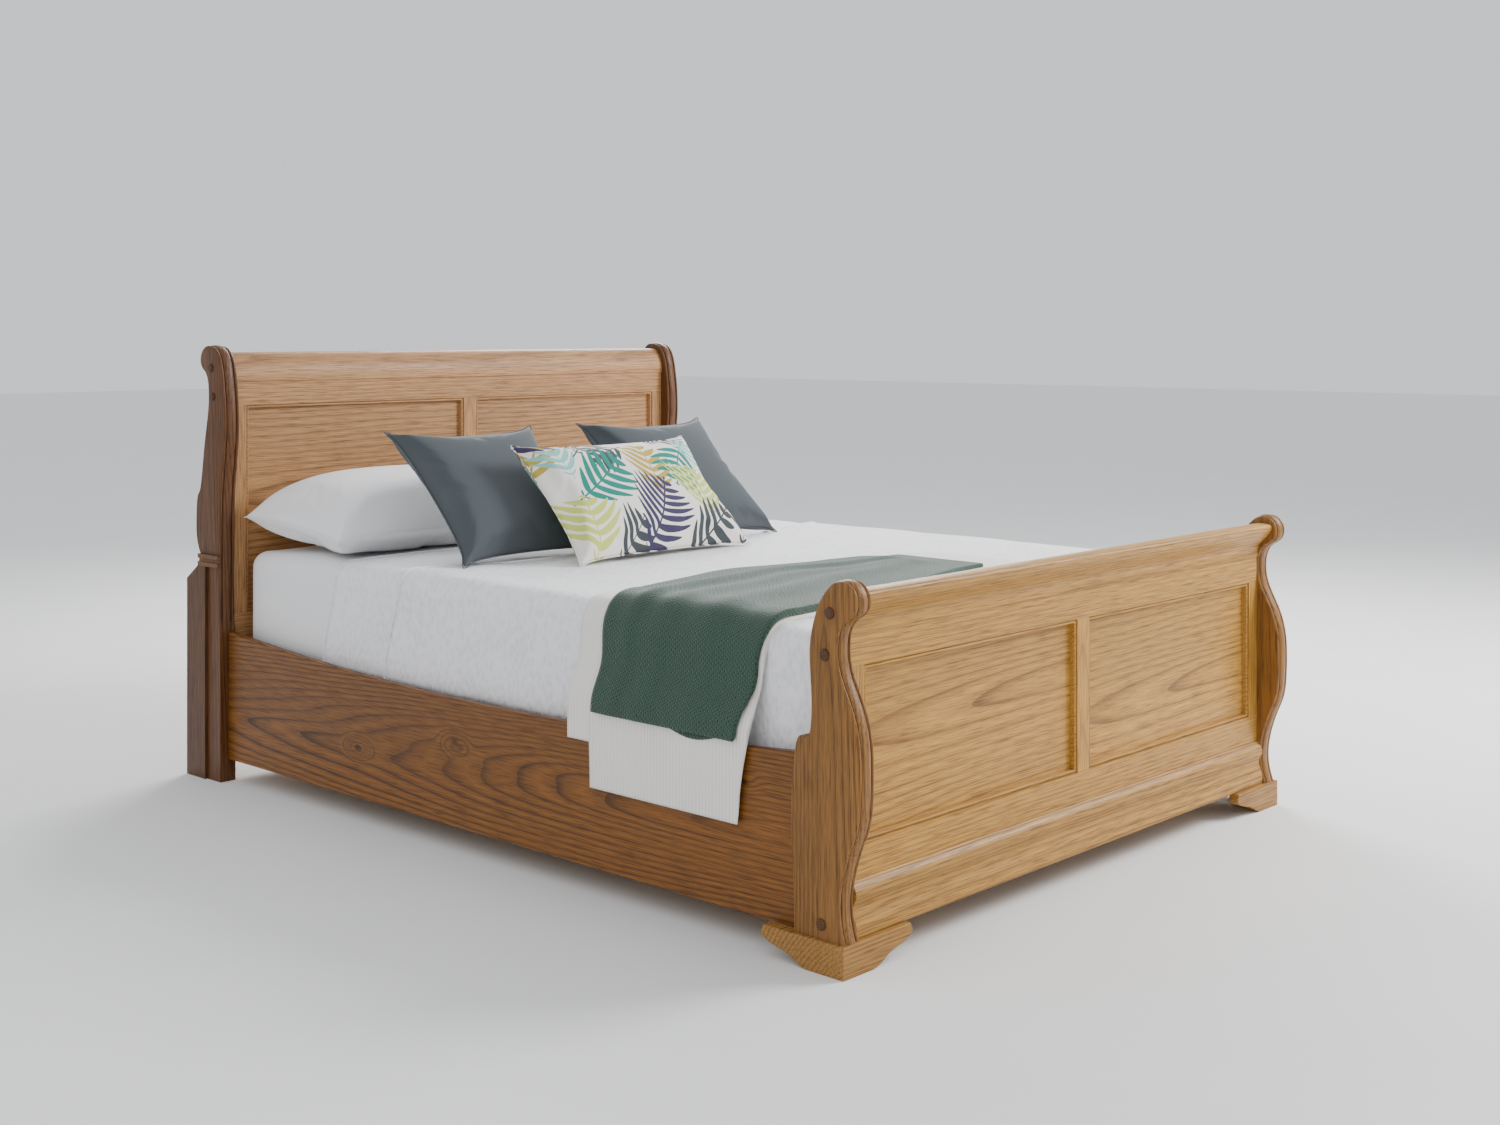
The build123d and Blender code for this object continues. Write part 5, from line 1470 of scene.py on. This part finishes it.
@dataclass
class Bedding:
    """Everything that lies on the made bed: runner, throw, pillow and cushions."""

    def blankets(self) -> None:
        """Builds the cream runner and the green throw over it."""
        # Unbleached cotton with woven ribs: cream, matt, fine cords down its length.
        cream = Cloth("ribbed_cotton_runner", "#F1EEE8", "#DEDAD2", Weave.RIB, pitch=9.0, depth=0.9)
        Blanket(
            "runner", cream, "cream_rib",
            upper_low=((0.0, -0.80), (0.6, -0.855), (0.75, -0.862), (0.85, -0.856), (1.0, -0.829)),
            upper_high=((0.0, -0.43), (0.6, -0.40), (0.8, -0.405), (1.0, -0.413)),
            under_high=((0.0, -0.38), (0.6, -0.34), (1.0, -0.338)),
            hem=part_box("runner")[0].z, under_hem=0.318, lift=1.0 * MM, flat=(0.93, 1.45),
            reach=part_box("runner")[1].x, ridge=0.6 * MM,
        ).make()
        # Knitted merino: bottle green with painted shade in the holes between the loops, and a pale bloom
        # seen edge on.
        green = Cloth("merino_knit_throw", "#3A5145", "#18261F", Weave.KNIT, 11.0, 1.6, 0.34)
        low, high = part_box("throw")
        Blanket(
            "throw", green, "green_knit",
            upper_low=(
                (0.0, -0.70), (0.4, -0.80), (0.66, -0.852), (0.78, -0.866), (0.88, -0.850), (1.0, -0.826),
            ),
            upper_high=(
                (0.0, -0.45), (0.2, -0.40), (0.4, -0.345), (0.62, -0.385), (0.78, -0.420), (1.0, -0.426),
            ),
            under_high=((0.0, -0.46), (0.4, -0.34), (0.72, -0.395), (0.85, -0.43), (1.0, -0.45)),
            hem=low.z, under_hem=low.z, dip=13 * MM, lift=9.5 * MM, flat=(0.86, 1.16), reach=high.x,
            thick=4.4 * MM, ridge=10.0 * MM,
        ).make()

    def make(self) -> None:
        """Builds the blankets, the pillow and the three cushions."""
        self.blankets()
        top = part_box("top_cover")[1].z + 1.5 * MM
        # The sheet's percale again, slightly brighter where it is stretched over the filling.
        percale = Cloth("cotton_percale_pillow", "#EFEFF0", "#E2E2E4", Weave.PERCALE, 1.2, 0.15, 0.1)
        Cushion(
            "pillow", "bed_pillow", percale, "white_percale", 0.74, 0.47, 0.14, 5.0, cap=30 * MM,
            pressure=5.0, step=9 * MM, fill=0.75, welt=1.2 * MM, sag=48 * MM, shift=(-20 * MM, 0.0, 8 * MM),
        ).make(top - 5 * MM)
        # Slate linen: blue grey, uneven slubs, matt with a slight bloom.
        grey = Cloth("slate_linen", "#4C5256", "#373D40", Weave.LINEN, pitch=2.4, depth=0.35, sheen=0.2)
        for side in ("left", "right"):
            Cushion(
                f"cushion_grey_{side}", f"linen_cushion_{side}", grey, "grey_linen", 0.50, 0.475, 0.085, 44.5,
                pinch=0.045, ears=12 * MM, shift=(0.0, 0.0, -20 * MM),
            ).make(top)
        low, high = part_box("cushion_leaf")
        teal, aqua, lime = "#1E7F73", "#86C5BF", "#C3CE6A"
        mustard, slate, plum = "#B9A04A", "#41474A", "#3F3A57"
        fronds = (
            Frond((-0.30, 0.05), 62, 0.19, mustard, 6, 0.34),
            Frond((-0.31, 0.16), 8, 0.13, plum, 6, 0.55),
            Frond((-0.21, 0.03), 92, 0.10, aqua, 4, 0.62),
            Frond((-0.16, 0.10), 38, 0.17, slate, 6, 0.42),
            Frond((0.00, 0.12), 200, 0.15, slate, 6, 0.36),
            Frond((-0.22, -0.04), 24, 0.22, teal, 7, 0.42),
            Frond((0.03, -0.06), 74, 0.19, mustard, 7, 0.4),
            Frond((0.21, 0.10), 222, 0.17, teal, 6, 0.5),
            Frond((0.13, 0.13), 20, 0.13, plum, 7, 0.5),
            Frond((0.22, 0.02), 68, 0.11, aqua, 5, 0.6),
            Frond((0.29, 0.09), -82, 0.15, teal, 6, 0.42),
            Frond((-0.24, -0.20), 74, 0.17, lime, 6, 0.55),
            Frond((-0.16, -0.20), 34, 0.13, slate, 5, 0.5),
            Frond((0.17, -0.13), 78, 0.16, lime, 7, 0.58),
            Frond((0.07, -0.21), 22, 0.20, slate, 7, 0.36),
            Frond((0.27, -0.20), 74, 0.13, slate, 5, 0.5),
            Frond((-0.07, -0.19), 44, 0.23, plum, 10, 0.42),
        )
        # Printed canvas: off-white with flat matt inks, cut sharp at the leaflets.
        leaf = LeafPrint("palm_print_canvas", tuple((low + high) / 2), 46.5, fronds)
        Cushion(
            "cushion_leaf", "palm_cushion", leaf, "leaf_print", 0.63, 0.41, 0.08, 46.5,
            pinch=0.028, ears=5 * MM, shift=(0.0, 0.0, -19 * MM),
        ).make(top)


# ---------------------------------------------------------------- floor, light and camera
@dataclass
class Studio:
    """Pale floor, soft daylight from the right and above, and the camera."""

    floor: str = "#EFEFEF"
    camera_place: tuple[float, float, float] = (-3.3299, -3.2012, 1.166)
    camera_heading: float = -47.13  # degrees, from +Y towards -X is positive
    lens: float = 43.56  # mm, on a sensor of this width
    sensor: float = 36.0
    shift: float = -0.1541
    sky: tuple[float, float, float, float] = (0.95, 0.97, 1.0, 1.0)
    sky_strength: float = 0.95
    reach: float = 30.0  # metres of floor on each side
    # place, aim, size and power of each soft light
    lights: tuple = (
        ((3.4, -3.0, 3.2), (0.0, 0.0, 0.5), 2.2, 300.0),
        ((2.8, 2.6, 2.8), (0.0, 0.0, 0.6), 2.4, 210.0),
        ((-3.8, -1.2, 3.0), (0.0, 0.0, 0.4), 3.0, 18.0),
    )

    def make(self) -> None:
        """Builds the floor, the lights, the world and the camera."""
        scene = bpy.context.scene
        # Painted floor: even, matt, a trace of unevenness.
        material, tree, coords = new_tree("matt_floor")
        fleck = add_node(tree, "TexNoise", {"Vector": coords, "Scale": 3.0})
        pale = linear(self.floor)
        tint = add_node(
            tree, "ValToRGB", {"Fac": fleck}, stops=[(0.3, tuple(0.98 * c for c in pale)), (0.7, pale)]
        )
        surface(tree, {"Base Color": tint, "Roughness": 0.9, "Specular IOR Level": 0.1})
        corners = [(x * self.reach, y * self.reach, 0.0) for x, y in ((-1, -1), (1, -1), (1, 1), (-1, 1))]
        mesh_piece("floor", corners, [(0, 1, 2, 3)], material)
        world = bpy.data.worlds.new("daylight")
        scene.world = world
        world.use_nodes = True
        background = world.node_tree.nodes["Background"]
        background.inputs["Color"].default_value = self.sky
        background.inputs["Strength"].default_value = self.sky_strength
        for number, (place, aim, size, power) in enumerate(self.lights):
            lamp = bpy.data.lights.new(f"softbox_{number}", "AREA")
            lamp.energy, lamp.size = power, size
            light = bpy.data.objects.new(f"softbox_{number}", lamp)
            light.location = place
            light.rotation_euler = (Vector(aim) - Vector(place)).to_track_quat("-Z", "Y").to_euler()
            scene.collection.objects.link(light)
        lens = bpy.data.cameras.new("camera")
        lens.lens, lens.sensor_width, lens.shift_y = self.lens, self.sensor, self.shift
        camera = bpy.data.objects.new("camera", lens)
        camera.location = self.camera_place
        camera.rotation_euler = (math.radians(90), 0.0, math.radians(self.camera_heading))
        scene.collection.objects.link(camera)
        scene.camera = camera


def main() -> None:
    """Builds the whole bed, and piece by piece."""
    logging.basicConfig(level=logging.INFO, format="%(message)s")
    Studio().make()
    RoutedPosts().make()
    PanelledEnd("foot").make()
    PanelledEnd("head", light="#BA8C5B", dark="#79512F").make()
    FrameBase().make()
    LiftPlatform().make()
    MadeBed().make()
    Bedding().make()
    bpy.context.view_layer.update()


if __name__ == "__main__":
    main()
